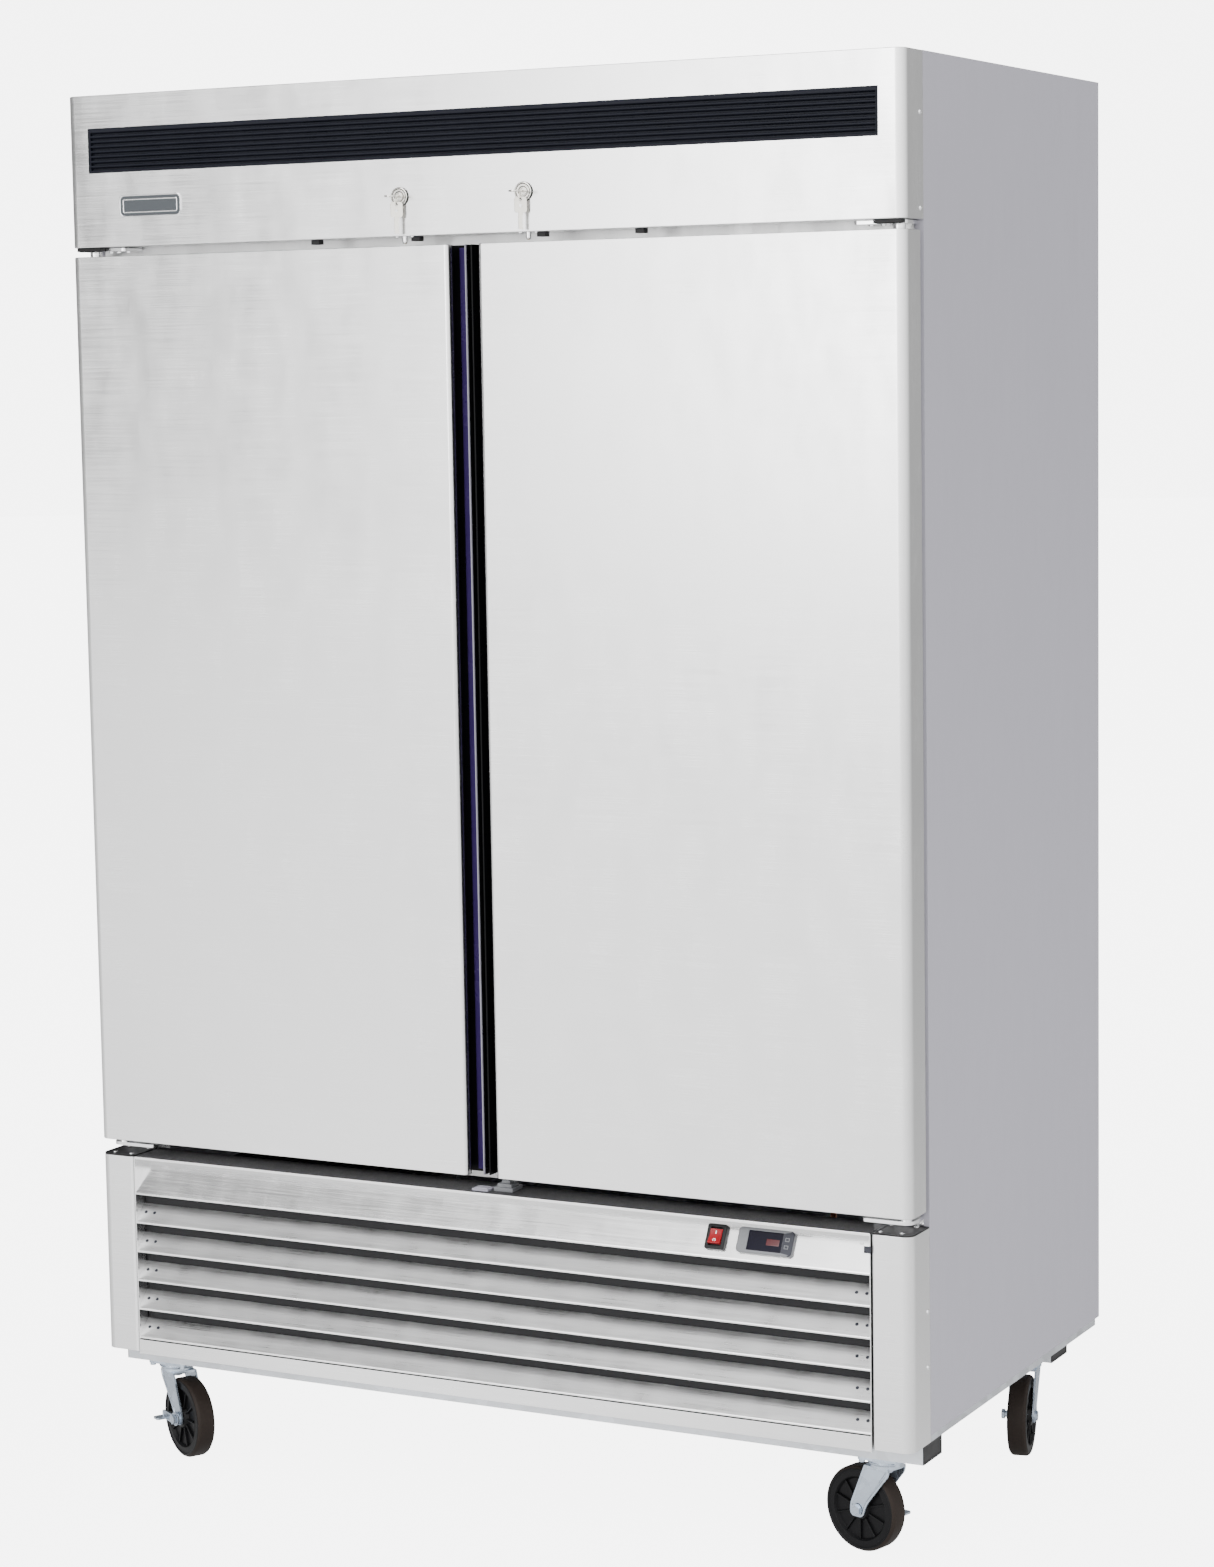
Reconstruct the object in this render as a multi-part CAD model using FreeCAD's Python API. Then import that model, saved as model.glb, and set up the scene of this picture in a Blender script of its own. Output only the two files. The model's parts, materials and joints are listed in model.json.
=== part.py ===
import FreeCAD, Part
import math
import os

from FreeCAD import Vector

# A two-door reach-in refrigerator on casters. Millimetres, +Z up, the front faces -Y.
# The origin is on the floor, under the middle of the whole object.

# ---- driving dimensions ----
WIDTH = 1382.0
HEIGHT = 2139.0
DEPTH = 776.0  # front face of the doors to the cabinet's back
KEY_REACH = 36.0  # how far the keys stand in front of the header
FRONT_DEPTH = 68.0  # doors, header and posts, in front of the cabinet
WALL = 60.0  # foamed wall
SHEET = 1.2
CABINET_BOTTOM = 191.0
POST_BOTTOM = 181.0
POST_TOP = 494.0
POST_WIDTH = 61.0
DOOR_BOTTOM = 519.0
DOOR_TOP = 1896.0
HEADER_BOTTOM = 1910.0
CORNER_RADIUS = 14.0
POST_RADIUS = 16.0
GRIP_HALF = 25.0  # middle of the object to the edge of a door's steel skin
DOOR_GAP_HALF = 3.0  # middle of the object to a door's own edge
GRIP_ROOT = 51.0  # middle of the object to the skin's wall beside the grip
GRIP_LIP_DEPTH = 13.0
GRIP_WALL = 2.0
GASKET_DEPTH = 12.5
GASKET_WIDTH = 20.0
RUN_CLEARANCE = 0.05  # radial, between a pin and its bore
BODY_GAP = 0.3  # between faces of pieces that move past each other
SIDE_FLANGE = 14.0  # front return of the side and top sheets
GRILLE_HALF = 653.0  # the header's opening, and the ribbed insert in it
GRILLE_LOW = 2022.0
GRILLE_HIGH = 2089.0
GRILLE_RIBS = 8
BADGE_SIZE = (112.0, 2.0, 34.0)
BADGE_AT = (-598.0, 1953.5)  # its left edge and its lower edge
BADGE_CORNER = 9.0

# ---- planes and edges that follow from them ----
HALF_WIDTH = WIDTH / 2
FRONT = -(DEPTH + KEY_REACH) / 2 + KEY_REACH
BACK = FRONT + DEPTH
CABINET_FRONT = FRONT + FRONT_DEPTH
DOOR_BACK = CABINET_FRONT - GASKET_DEPTH
INNER_HALF = HALF_WIDTH - WALL
INNER_BACK = BACK - WALL
INNER_TOP = HEIGHT - WALL
INNER_FLOOR = 562.0
BAY_TOP = 502.0
DOORWAY_TOP = 1850.0
MULLION_HALF = 34.0
PANEL_HALF = HALF_WIDTH - POST_WIDTH - 1.5  # louvre panel, between the posts

# ---- hinges ----
PIVOT_X = HALF_WIDTH - 22.0
PIVOT_Y = FRONT + 35.0
PIN_RADIUS = 5.0
PLATE = 5.0  # hinge plate thickness
PLATE_NOSE = 14.0
PLATE_END = 606.0
PLATE_OFFSET = 8.0  # between a hinge plate and the door's end
PIN_REACH = 16.0  # how far the pin goes past the door's end
KNUCKLE_RADIUS = 9.0

# ---- locks ----
LOCK_X = 103.0
LOCK_Z = 1967.0
LOCK_FLANGE_RADIUS = 14.0
LOCK_FLANGE_PROUD = 3.5
LOCK_PLUG_RADIUS = 6.0
LOCK_PLUG_PROUD = 4.0
KEY_NECK_RADIUS = 1.8
KEY_BOW_RADIUS = 9.0
BOLT_RADIUS = 4.0
BOLT_Y = FRONT + 12.0

# ---- louvre panel and what is mounted on its sloping top band ----
PANEL_BOTTOM = 177.0
PANEL_TOP = 495.0
FIRST_LIP = 434.0
LIP_PITCH = 46.4
LIP_HEIGHT = 3.0
SLAT_COUNT = 5
SLAT_RISE = 25.0
SLAT_DEPTH = 24.0
BAND_TOP = 490.0
BAND_DEPTH = 29.0
BAND_LOW = FIRST_LIP + LIP_HEIGHT
BAND_SLOPE = math.degrees(math.atan2(BAND_DEPTH, BAND_TOP - BAND_LOW))
CONTROL_Z = 462.0
CONTROLLER_X = 461.0
CONTROLLER_SIZE = (88.0, 38.0)
SWITCH_X = 382.5
SWITCH_SIZE = (31.0, 38.0)
ROCKER_SIZE = (19.0, 22.0)
ROCKER_PIN_RADIUS = 1.5
BEZEL_PROUD = 7.0
BEZEL_FRAME = 8.0  # how much wider and higher a bezel is than the tub behind it
DISPLAY_WINDOW = (54.0, 29.0)
CONTROLLER_DEPTH = 30.0
SWITCH_DEPTH = 22.0

# ---- casters ----
CHANNEL_BOTTOM = 151.0
CHANNEL_TOP = 180.0
WHEEL_RADIUS = 63.5
WHEEL_WIDTH = 32.0
AXLE_RADIUS = 5.0
TRAIL = 40.0
FORK_TOP = 138.0
# name, swivel axis x and y from the front face, direction in which the wheel trails, brake or not
CASTERS = [
    ("front_left", -616.0, 84.0, -30.0, True),
    ("front_right", 616.0, 84.0, 165.0, True),
    ("rear_left", -612.0, 655.0, -62.0, False),
    ("rear_right", 612.0, 655.0, -78.0, False),
]

CHANNEL_WIDTH = 68.0
CHANNEL_WALL = 2.5
CASTER_PAD = (34.0, 33.0, 4.0)  # half length, half width, thickness
CASTER_RACE_RADIUS = 29.0
CASTER_CROWN_RADIUS = 25.0
CASTER_PIN_RADIUS = 7.0
LEG_OUTSIDE = 21.0
LEG_THICKNESS = 3.0
AXLE_HEAD = 32.0  # its face, from the wheel's middle
AXLE_HEAD_RADIUS = 8.0
BRAKE_FAR = 26.5
BRAKE_THICKNESS = 3.0

# ---- shelves ----
SHELF_LEVELS = [800.0, 1130.0, 1460.0]
SHELF_FRONT = CABINET_FRONT + 62.0
SHELF_WIDTH = 584.0
SHELF_DEPTH = 560.0

MULLION_DEPTH = 46.0
MULLION_RAIL_Y = CABINET_FRONT + SHEET + MULLION_DEPTH
RAIL_Y = [SHELF_FRONT + 24.0, SHELF_FRONT + SHELF_DEPTH - 24.0]

SHELF_BAR = 6.0
SHELF_WIRE = 4.0
SHELF_WIRES = 21
RAIL_SIZE = (18.0, 6.0)
RAIL_WALL = 2.0
RAIL_PITCH = 50.0
RAIL_END_GAP = 60.0  # from the liner's floor, and from the top of the doorway

# ---- cooling module and machine bay ----
COVER_HALF = 540.0
COVER_LOW = 1870.0
COVER_FRONT = -230.0
COVER_BACK = 318.0
OUTLET_COLUMNS = 9
OUTLET_PITCH = 112.0
OUTLET_WIDTH = 72.0
OUTLET_ROWS = [1930.0, 1965.0]
OUTLET_HEIGHT = 18.0
COMPRESSOR_AT = (300.0, 60.0)
COMPRESSOR_RADIUS = 86.0
COMPRESSOR_HEIGHT = 176.0
CONDENSER_HALF = 190.0
CONDENSER_TOP = 484.0
GRILLE_ROWS = 7
GRILLE_COLUMNS = 4
GLAND_AT = (645.0, 300.0)  # x and z, in the rear grille

# ---- fans ----
FAN_SHAFT = 4.0
FAN_DEPTH = 20.0
FAN_HUB_RADIUS = 24.0
EVAPORATOR_FAN = (0.0, -90.0, 1884.0, 118.0)  # x, y, lowest z, radius
CONDENSER_FAN = (-330.0, -196.0, 340.0, 112.0)  # x, nearest y, z, radius

UP = Vector(0, 0, 1)
SIDES = [("left", -1), ("right", 1)]


def box(x0, y0, z0, x1, y1, z1):
    """A box between two opposite corners."""
    return Part.makeBox(x1 - x0, y1 - y0, z1 - z0, Vector(x0, y0, z0))


def side_box(side, x0, y0, z0, x1, y1, z1):
    """A box at positive x, mirrored when side is -1."""
    low, high = sorted((side * x0, side * x1))
    return box(low, y0, z0, high, y1, z1)


def rod(radius, start, direction, length):
    """A round bar from a point along a direction."""
    return Part.makeCylinder(radius, length, Vector(*start), Vector(*direction))


def fuse(shapes):
    """One solid out of several that touch."""
    return shapes[0].fuse(shapes[1:]).removeSplitter()


def mirrored(shape, side):
    """The shape itself on the right, its mirror image on the left."""
    if side > 0:
        return shape
    return shape.mirror(Vector(0, 0, 0), Vector(1, 0, 0))


def outline(points):
    """A closed wire in the XY plane through (x, y, radius) corners, rounded where radius is over 0."""
    edges = []
    ends = []
    count = len(points)
    for i, (x, y, radius) in enumerate(points):
        corner = Vector(x, y, 0)
        before = Vector(points[i - 1][0], points[i - 1][1], 0) - corner
        after = Vector(points[(i + 1) % count][0], points[(i + 1) % count][1], 0) - corner
        before.normalize()
        after.normalize()
        if radius <= 0:
            ends.append((corner, corner, None))
            continue
        half = before.getAngle(after) / 2
        reach = radius / math.tan(half)
        bisector = before + after
        bisector.normalize()
        middle = corner + bisector * (radius / math.sin(half) - radius)
        ends.append((corner + before * reach, corner + after * reach, middle))
    for i, (start, end, middle) in enumerate(ends):
        if middle is not None:
            edges.append(Part.Arc(start, middle, end).toShape())
        following = ends[(i + 1) % count][0]
        if (following - end).Length > 1e-6:
            edges.append(Part.LineSegment(end, following).toShape())
    return Part.Wire(edges)


def prism(points, z0, z1):
    """An upright prism on a rounded outline."""
    face = Part.Face(outline(points))
    face.translate(Vector(0, 0, z0))
    return face.extrude(Vector(0, 0, z1 - z0))


def along_x(profile, x0, x1):
    """A straight bar of constant section along X; the profile is a list of (y, z)."""
    wire = Part.makePolygon([Vector(x0, y, z) for y, z in profile + profile[:1]])
    return Part.Face(wire).extrude(Vector(x1 - x0, 0, 0))


def save(node, *shapes):
    """Write one node; several shapes are separate solids of the same kind."""
    shape = shapes[0] if len(shapes) == 1 else Part.makeCompound(list(shapes))
    shape.exportStep("parts/" + node + ".step")


def make_outer_panels():
    """Side sheets with a front return, the top sheet and the back sheet."""
    lip_back = CABINET_FRONT + SHEET
    lip_edge = HALF_WIDTH - SIDE_FLANGE
    for name, side in SIDES:
        web = side_box(side, HALF_WIDTH - SHEET, CABINET_FRONT, CABINET_BOTTOM, HALF_WIDTH, BACK, HEIGHT)
        lip = side_box(side, lip_edge, CABINET_FRONT, CABINET_BOTTOM, HALF_WIDTH, lip_back, HEIGHT)
        save("side_panel_" + name, fuse([web, lip]))
    inside = HALF_WIDTH - SHEET
    top = box(-inside, lip_back, HEIGHT - SHEET, inside, BACK, HEIGHT)
    lid_half = lip_edge - SHEET
    lid_lip = box(-lid_half, CABINET_FRONT, HEIGHT - SIDE_FLANGE, lid_half, lip_back, HEIGHT)
    save("top_panel", fuse([top, lid_lip]))
    back = box(-inside, BACK - SHEET, BAY_TOP, inside, BACK, HEIGHT - SHEET)
    save("back_panel", back)


def make_foam_and_liner():
    """Foam slabs between the outer sheets and the folded inner liner."""
    y0 = CABINET_FRONT + 3 * SHEET  # behind the side sheet's lip and the doubled face frame
    y1 = BACK - SHEET
    foam_half = HALF_WIDTH - SHEET
    foam_top = HEIGHT - SHEET
    bay_ceiling = BAY_TOP + SHEET
    inner = INNER_HALF + SHEET
    back = INNER_BACK + SHEET
    top = INNER_TOP + SHEET
    floor = INNER_FLOOR - SHEET
    slabs = [side_box(side, inner, y0, bay_ceiling, foam_half, y1, foam_top) for _, side in SIDES]
    slabs.append(box(-inner, back, bay_ceiling, inner, y1, foam_top))
    slabs.append(box(-inner, y0, top, inner, back, foam_top))
    slabs.append(box(-inner, y0, bay_ceiling, inner, back, floor))
    save("cabinet_foam", *slabs)
    mouth = CABINET_FRONT + 3 * SHEET
    sheets = [side_box(side, INNER_HALF, mouth, floor, inner, back, top) for _, side in SIDES]
    sheets.append(box(-INNER_HALF, INNER_BACK, floor, INNER_HALF, back, top))
    sheets.append(box(-INNER_HALF, mouth, INNER_TOP, INNER_HALF, INNER_BACK, top))
    sheets.append(box(-INNER_HALF, mouth, floor, INNER_HALF, INNER_BACK, INNER_FLOOR))
    save("inner_liner", *sheets)


def make_face_frame():
    """Stiles, rails and the centre mullion, which the door gaskets close on."""
    front = CABINET_FRONT + SHEET
    back = front + 2 * SHEET
    edge = HALF_WIDTH - SHEET
    top = HEIGHT - SIDE_FLANGE
    stiles = [side_box(side, INNER_HALF, front, BAY_TOP, edge, back, top) for _, side in SIDES]
    head_rail = box(-INNER_HALF, front, DOORWAY_TOP, INNER_HALF, back, top)
    sill_rail = box(-INNER_HALF, front, BAY_TOP, INNER_HALF, back, INNER_FLOOR)
    post = box(-MULLION_HALF, front, INNER_FLOOR, MULLION_HALF, front + MULLION_DEPTH, DOORWAY_TOP)
    core_half = MULLION_HALF - 2 * SHEET
    core = box(-core_half, back, INNER_FLOOR, core_half, front + MULLION_DEPTH - 2 * SHEET, DOORWAY_TOP)
    save("face_frame", *stiles, head_rail, sill_rail, post.cut(core))


def make_header():
    """The folded header cover, its black ribbed insert and the badge plate."""
    back = CABINET_FRONT - BODY_GAP
    outer = prism(
        [
            (-HALF_WIDTH, back, 0),
            (-HALF_WIDTH, FRONT, CORNER_RADIUS),
            (HALF_WIDTH, FRONT, CORNER_RADIUS),
            (HALF_WIDTH, back, 0),
        ],
        HEADER_BOTTOM,
        HEIGHT,
    )
    inside = HALF_WIDTH - SHEET
    hollow = prism(
        [
            (-inside, back + 1, 0),
            (-inside, FRONT + SHEET, CORNER_RADIUS - SHEET),
            (inside, FRONT + SHEET, CORNER_RADIUS - SHEET),
            (inside, back + 1, 0),
        ],
        HEADER_BOTTOM + SHEET,
        HEIGHT - SHEET,
    )
    cover = outer.cut(hollow)
    window = box(-GRILLE_HALF, FRONT - 1, GRILLE_LOW, GRILLE_HALF, FRONT + 5, GRILLE_HIGH)
    holes = [window]
    for _, side in SIDES:
        holes.append(rod(LOCK_FLANGE_RADIUS - 4, (side * LOCK_X, FRONT - 1, LOCK_Z), (0, 1, 0), 6))
        holes.append(rod(BOLT_RADIUS + 0.5, (side * LOCK_X, BOLT_Y, HEADER_BOTTOM - 1), (0, 0, 1), 6))
    save("header_cover", cover.cut(holes))

    clearance = 0.2
    border = 2.0
    low = GRILLE_LOW + clearance
    high = GRILLE_HIGH - clearance
    crest = FRONT + 1.0
    groove = FRONT + 5.0
    insert_back = FRONT + 10.0
    pitch = (GRILLE_HIGH - GRILLE_LOW - 2 * border) / GRILLE_RIBS
    profile = [(insert_back, high), (insert_back, low), (crest, low)]
    for i in range(GRILLE_RIBS):
        foot = GRILLE_LOW + border + i * pitch
        profile += [
            (crest, foot),
            (groove, foot + 0.2),
            (groove, foot + 0.45 * pitch),
            (crest, foot + 0.7 * pitch),
        ]
    profile.append((crest, high))
    save("header_grille", along_x(profile, -GRILLE_HALF + clearance, GRILLE_HALF - clearance))

    badge = Part.makeBox(*BADGE_SIZE, Vector(BADGE_AT[0], FRONT - BADGE_SIZE[1], BADGE_AT[1]))
    corners = [edge for edge in badge.Edges if abs(edge.tangentAt(0).y) > 0.9]
    save("badge_plate", badge.makeFillet(BADGE_CORNER, corners))


def make_posts():
    """Folded corner posts below the doors and the black plates that close their tops."""
    posts = []
    caps = []
    back = CABINET_FRONT - BODY_GAP
    inner = HALF_WIDTH - POST_WIDTH
    inner_radius = 5.0
    for _, side in SIDES:
        outer = prism(
            [
                (inner, back, 0),
                (inner, FRONT, inner_radius),
                (HALF_WIDTH, FRONT, POST_RADIUS),
                (HALF_WIDTH, back, 0),
            ],
            POST_BOTTOM,
            POST_TOP,
        )
        hollow = prism(
            [
                (inner + SHEET, back + 1, 0),
                (inner + SHEET, FRONT + SHEET, inner_radius - SHEET),
                (HALF_WIDTH - SHEET, FRONT + SHEET, POST_RADIUS - SHEET),
                (HALF_WIDTH - SHEET, back + 1, 0),
            ],
            POST_BOTTOM - 1,
            POST_TOP + 1,
        )
        posts.append(mirrored(outer.cut(hollow), side))
        cap = prism(
            [
                (inner + 0.5, back, 0),
                (inner + 0.5, FRONT + 1, inner_radius - 1),
                (HALF_WIDTH - 0.5, FRONT + 1, POST_RADIUS - 1),
                (HALF_WIDTH - 0.5, back, 0),
            ],
            POST_TOP,
            POST_TOP + 2.0,
        )
        caps.append(mirrored(cap, side))
    save("corner_posts", *posts)
    save("post_caps", *caps)


def make_louvres():
    """The front panel of the machine bay: a frame with a sloping top band, and the slats."""
    cheek = PANEL_HALF - SHEET
    back = FRONT + BAND_DEPTH + 12.0
    band = [
        (FRONT, FIRST_LIP),
        (FRONT, FIRST_LIP + LIP_HEIGHT),
        (FRONT + BAND_DEPTH, BAND_TOP),
        (FRONT + BAND_DEPTH, PANEL_TOP - SHEET),
        (FRONT + SHEET, PANEL_TOP - SHEET),
        (FRONT + SHEET, PANEL_TOP - 4.0),
        (FRONT, PANEL_TOP - 4.0),
        (FRONT, PANEL_TOP),
        (CABINET_FRONT - BODY_GAP, PANEL_TOP),
        (CABINET_FRONT - BODY_GAP, PANEL_TOP - SHEET),
        (FRONT + BAND_DEPTH + SHEET, PANEL_TOP - SHEET),
        (FRONT + BAND_DEPTH + SHEET, BAND_TOP - 0.5),
        (FRONT + SHEET, FIRST_LIP + LIP_HEIGHT - 1.5),
        (FRONT + SHEET, FIRST_LIP),
    ]
    strip_top = FIRST_LIP - SLAT_COUNT * LIP_PITCH - 1.5
    strip = [
        (FRONT, PANEL_BOTTOM),
        (FRONT, strip_top),
        (FRONT + SHEET, strip_top),
        (FRONT + SHEET, PANEL_BOTTOM + SHEET),
        (back, PANEL_BOTTOM + SHEET),
        (back, PANEL_BOTTOM),
    ]
    cheeks = [side_box(side, cheek, FRONT, PANEL_BOTTOM, PANEL_HALF, back, PANEL_TOP) for _, side in SIDES]
    cut_outs = []
    for x, (width, height) in ((SWITCH_X, SWITCH_SIZE), (CONTROLLER_X, CONTROLLER_SIZE)):
        hole = box(-width / 2 + 3, -8, -height / 2 + 3, width / 2 - 3, 8, height / 2 - 3)
        cut_outs.append(on_band(hole, x))
    save("louvre_frame", along_x(band, -cheek, cheek).cut(cut_outs), along_x(strip, -cheek, cheek), *cheeks)

    slats = []
    for i in range(1, SLAT_COUNT + 1):
        lip = FIRST_LIP - i * LIP_PITCH
        profile = [
            (FRONT, lip),
            (FRONT, lip + LIP_HEIGHT),
            (FRONT + SLAT_DEPTH, lip + LIP_HEIGHT + SLAT_RISE),
            (FRONT + SLAT_DEPTH, lip + LIP_HEIGHT + SLAT_RISE - 1.4),
            (FRONT + SHEET, lip + LIP_HEIGHT - 1.4),
            (FRONT + SHEET, lip),
        ]
        slats.append(along_x(profile, -cheek, cheek))
    save("louvre_slats", *slats)


def on_band(shape, x):
    """Carry a shape modelled on an upright plane y = 0 onto the sloping top band, at height CONTROL_Z."""
    depth = (CONTROL_Z - BAND_LOW) * BAND_DEPTH / (BAND_TOP - BAND_LOW)
    placed = shape.copy()
    placed.rotate(Vector(0, 0, 0), Vector(1, 0, 0), -BAND_SLOPE)
    placed.translate(Vector(x, FRONT + depth - 0.1, CONTROL_Z))
    return placed


def framed_block(size, proud, tub_size, tub_depth, window, floor):
    """A bezel standing proud of the plane y = 0, with a tub behind it and a window sunk into its face."""
    width, height = size
    bezel = box(-width / 2, -proud, -height / 2, width / 2, 0, height / 2)
    corners = [edge for edge in bezel.Edges if edge.Length == proud]
    rim = [edge for edge in bezel.Edges if edge.BoundBox.YMax < -proud + 0.01]
    edge_radius = 1.5
    bezel = bezel.makeFillet(edge_radius, corners + rim)
    tub = box(-tub_size[0] / 2, 0, -tub_size[1] / 2, tub_size[0] / 2, tub_depth, tub_size[1] / 2)
    well = box(-window[0] / 2, -proud - 1, -window[1] / 2, window[0] / 2, floor, window[1] / 2)
    return bezel.fuse(tub).cut(well)


def make_controls():
    """Temperature controller, and the rocker switch in its housing."""
    width, height = CONTROLLER_SIZE
    tub = (width - BEZEL_FRAME, height - BEZEL_FRAME)
    case = framed_block(CONTROLLER_SIZE, BEZEL_PROUD, tub, CONTROLLER_DEPTH, DISPLAY_WINDOW, -4.5)
    save("controller_case", on_band(case, CONTROLLER_X))
    width, height = SWITCH_SIZE
    opening = (ROCKER_SIZE[0] + 1.0, ROCKER_SIZE[1] + 6.0)  # room at both ends for the rocker's swing
    tub = (width - BEZEL_FRAME, height - BEZEL_FRAME)
    housing = framed_block(SWITCH_SIZE, BEZEL_PROUD, tub, SWITCH_DEPTH, opening, 10.0)
    pivot = rod(ROCKER_PIN_RADIUS, (-opening[0] / 2 - 1, 0, 0), (1, 0, 0), opening[0] + 2)
    save("switch_housing", on_band(housing.fuse(pivot), SWITCH_X))
    half_w = ROCKER_SIZE[0] / 2
    half_h = ROCKER_SIZE[1] / 2
    # a shallow V seen from the side, pressed in at its top end
    profile = [(-7.6, half_h), (-7.6, 0.5), (-11.0, -half_h), (-1.0, -half_h), (4.0, 0), (-1.0, half_h)]
    bore = rod(ROCKER_PIN_RADIUS + RUN_CLEARANCE, (-half_w - 1, 0, 0), (1, 0, 0), 2 * half_w + 2)
    save("switch_rocker", on_band(along_x(profile, -half_w, half_w).cut(bore), SWITCH_X))


def make_hinges():
    """Bottom and top hinge plates, each with its knuckle and pin in one piece."""
    brackets = []
    flange_y = CABINET_FRONT - 2.0
    for _, side in SIDES:
        for face, sign in ((DOOR_BOTTOM, 1), (DOOR_TOP, -1)):
            knuckle_tip = face - sign * BODY_GAP
            plate_near = face - sign * PLATE_OFFSET
            plate_far = plate_near - sign * PLATE
            low, high = sorted((plate_near, plate_far))
            plate_edge = PIVOT_X + PLATE_NOSE
            plate = side_box(side, PLATE_END, PIVOT_Y - PLATE_NOSE, low, plate_edge, CABINET_FRONT, high)
            nose = rod(PLATE_NOSE, (side * PIVOT_X, PIVOT_Y, low), (0, 0, 1), PLATE)
            foot = (side * PIVOT_X, PIVOT_Y, plate_near)
            knuckle = rod(KNUCKLE_RADIUS, foot, (0, 0, sign), abs(knuckle_tip - plate_near))
            pin = rod(PIN_RADIUS, foot, (0, 0, sign), PLATE_OFFSET + PIN_REACH)
            pieces = [plate, nose, knuckle, pin]
            if sign > 0:
                pieces.append(side_box(side, PLATE_END, flange_y, face - 22, plate_edge, CABINET_FRONT, low))
            brackets.append(fuse(pieces))
    save("hinge_brackets", *brackets)


def make_doors():
    """Each door: folded steel skin, foam, inner panel, gasket and the recessed grip profile."""
    lip_back = FRONT + GRIP_LIP_DEPTH
    outer = [
        (HALF_WIDTH, DOOR_BACK, 0),
        (HALF_WIDTH, FRONT, CORNER_RADIUS),
        (GRIP_HALF, FRONT, 6.0),
        (GRIP_HALF, lip_back, 2.0),
        (GRIP_ROOT, lip_back, 0),
        (GRIP_ROOT, DOOR_BACK, 0),
    ]
    inner = [
        (HALF_WIDTH - SHEET, DOOR_BACK + 1, 0),
        (HALF_WIDTH - SHEET, FRONT + SHEET, CORNER_RADIUS - SHEET),
        (GRIP_HALF + SHEET, FRONT + SHEET, 6.0 - SHEET),
        (GRIP_HALF + SHEET, lip_back - SHEET, 0.8),
        (GRIP_ROOT + SHEET, lip_back - SHEET, 0),
        (GRIP_ROOT + SHEET, DOOR_BACK + 1, 0),
    ]
    skin = prism(outer, DOOR_BOTTOM, DOOR_TOP).cut(prism(inner, DOOR_BOTTOM + SHEET, DOOR_TOP - SHEET))
    bores = [
        rod(PIN_RADIUS + RUN_CLEARANCE, (PIVOT_X, PIVOT_Y, DOOR_BOTTOM - 1), (0, 0, 1), 4),
        rod(PIN_RADIUS + RUN_CLEARANCE, (PIVOT_X, PIVOT_Y, DOOR_TOP + 1), (0, 0, -1), 4),
        rod(BOLT_RADIUS + 1, (LOCK_X, BOLT_Y, DOOR_TOP + 1), (0, 0, -1), 4),
    ]
    skin = skin.cut(bores)
    liner_gap = 1.0
    block = prism(inner, DOOR_BOTTOM + SHEET, DOOR_TOP - SHEET)
    keep = box(0, FRONT, DOOR_BOTTOM, HALF_WIDTH, DOOR_BACK - 2.0 - liner_gap, DOOR_TOP)
    pockets = [
        rod(PIN_RADIUS + 2, (PIVOT_X, PIVOT_Y, DOOR_BOTTOM), (0, 0, 1), 20),
        rod(PIN_RADIUS + 2, (PIVOT_X, PIVOT_Y, DOOR_TOP), (0, 0, -1), 20),
        rod(BOLT_RADIUS + 2, (LOCK_X, BOLT_Y, DOOR_TOP), (0, 0, -1), 16),
    ]
    foam = block.common(keep).cut(pockets)
    edge = SHEET + 0.2
    near = DOOR_BACK - 1.8
    sheet = box(GRIP_ROOT + edge, near, DOOR_BOTTOM + edge, HALF_WIDTH - edge, DOOR_BACK, DOOR_TOP - edge)
    tray_depth = 7.0
    tray_margin = 81.0
    tray_top = DOOR_TOP - tray_margin - 3.0
    tray_low = DOOR_BOTTOM + tray_margin
    tray = box(90.0, near, tray_low, HALF_WIDTH - tray_margin, DOOR_BACK + tray_depth, tray_top)
    tray = tray.makeFillet(5.0, [e for e in tray.Edges if e.BoundBox.YMin > DOOR_BACK])
    liner = fuse([sheet, tray])
    root = GRIP_ROOT - 0.2
    lip = lip_back + 0.2
    floor = DOOR_BACK - 20.0
    grip = [
        (GRIP_HALF + 0.2, lip, 0),
        (root, lip, 0),
        (root, DOOR_BACK, 0),
        (DOOR_GAP_HALF, DOOR_BACK, 0),
        (DOOR_GAP_HALF, lip + 4, 0.8),
        (DOOR_GAP_HALF + GRIP_WALL + 1, lip + 4, 0.8),
        (DOOR_GAP_HALF + GRIP_WALL + 1, floor, 2.0),
        (root - GRIP_WALL, floor, 4.0),
        (root - GRIP_WALL, lip + GRIP_WALL, 2.0),
        (GRIP_HALF + 0.2, lip + GRIP_WALL, 0),
    ]
    profile = prism(grip, DOOR_BOTTOM + 0.2, DOOR_TOP - 0.2)
    seal_back = CABINET_FRONT - BODY_GAP
    left = DOOR_GAP_HALF + 5.0
    right = PIVOT_X - 5.0
    low = DOOR_BOTTOM + 8.0
    high = DOOR_TOP - 16.0
    width = GASKET_WIDTH
    bars = [
        box(left, DOOR_BACK, low, left + width, seal_back, high),
        box(right - width, DOOR_BACK, low, right, seal_back, high),
        box(left + width, DOOR_BACK, low, right - width, seal_back, low + width),
        box(left + width, DOOR_BACK, high - width, right - width, seal_back, high),
    ]
    for name, side in SIDES:
        save("door_skin_" + name, mirrored(skin, side))
        save("door_foam_" + name, mirrored(foam, side))
        save("door_inner_panel_" + name, mirrored(liner, side))
        save("door_grip_" + name, mirrored(profile, side))
        save("door_gasket_" + name, *[mirrored(bar, side) for bar in bars])


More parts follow.
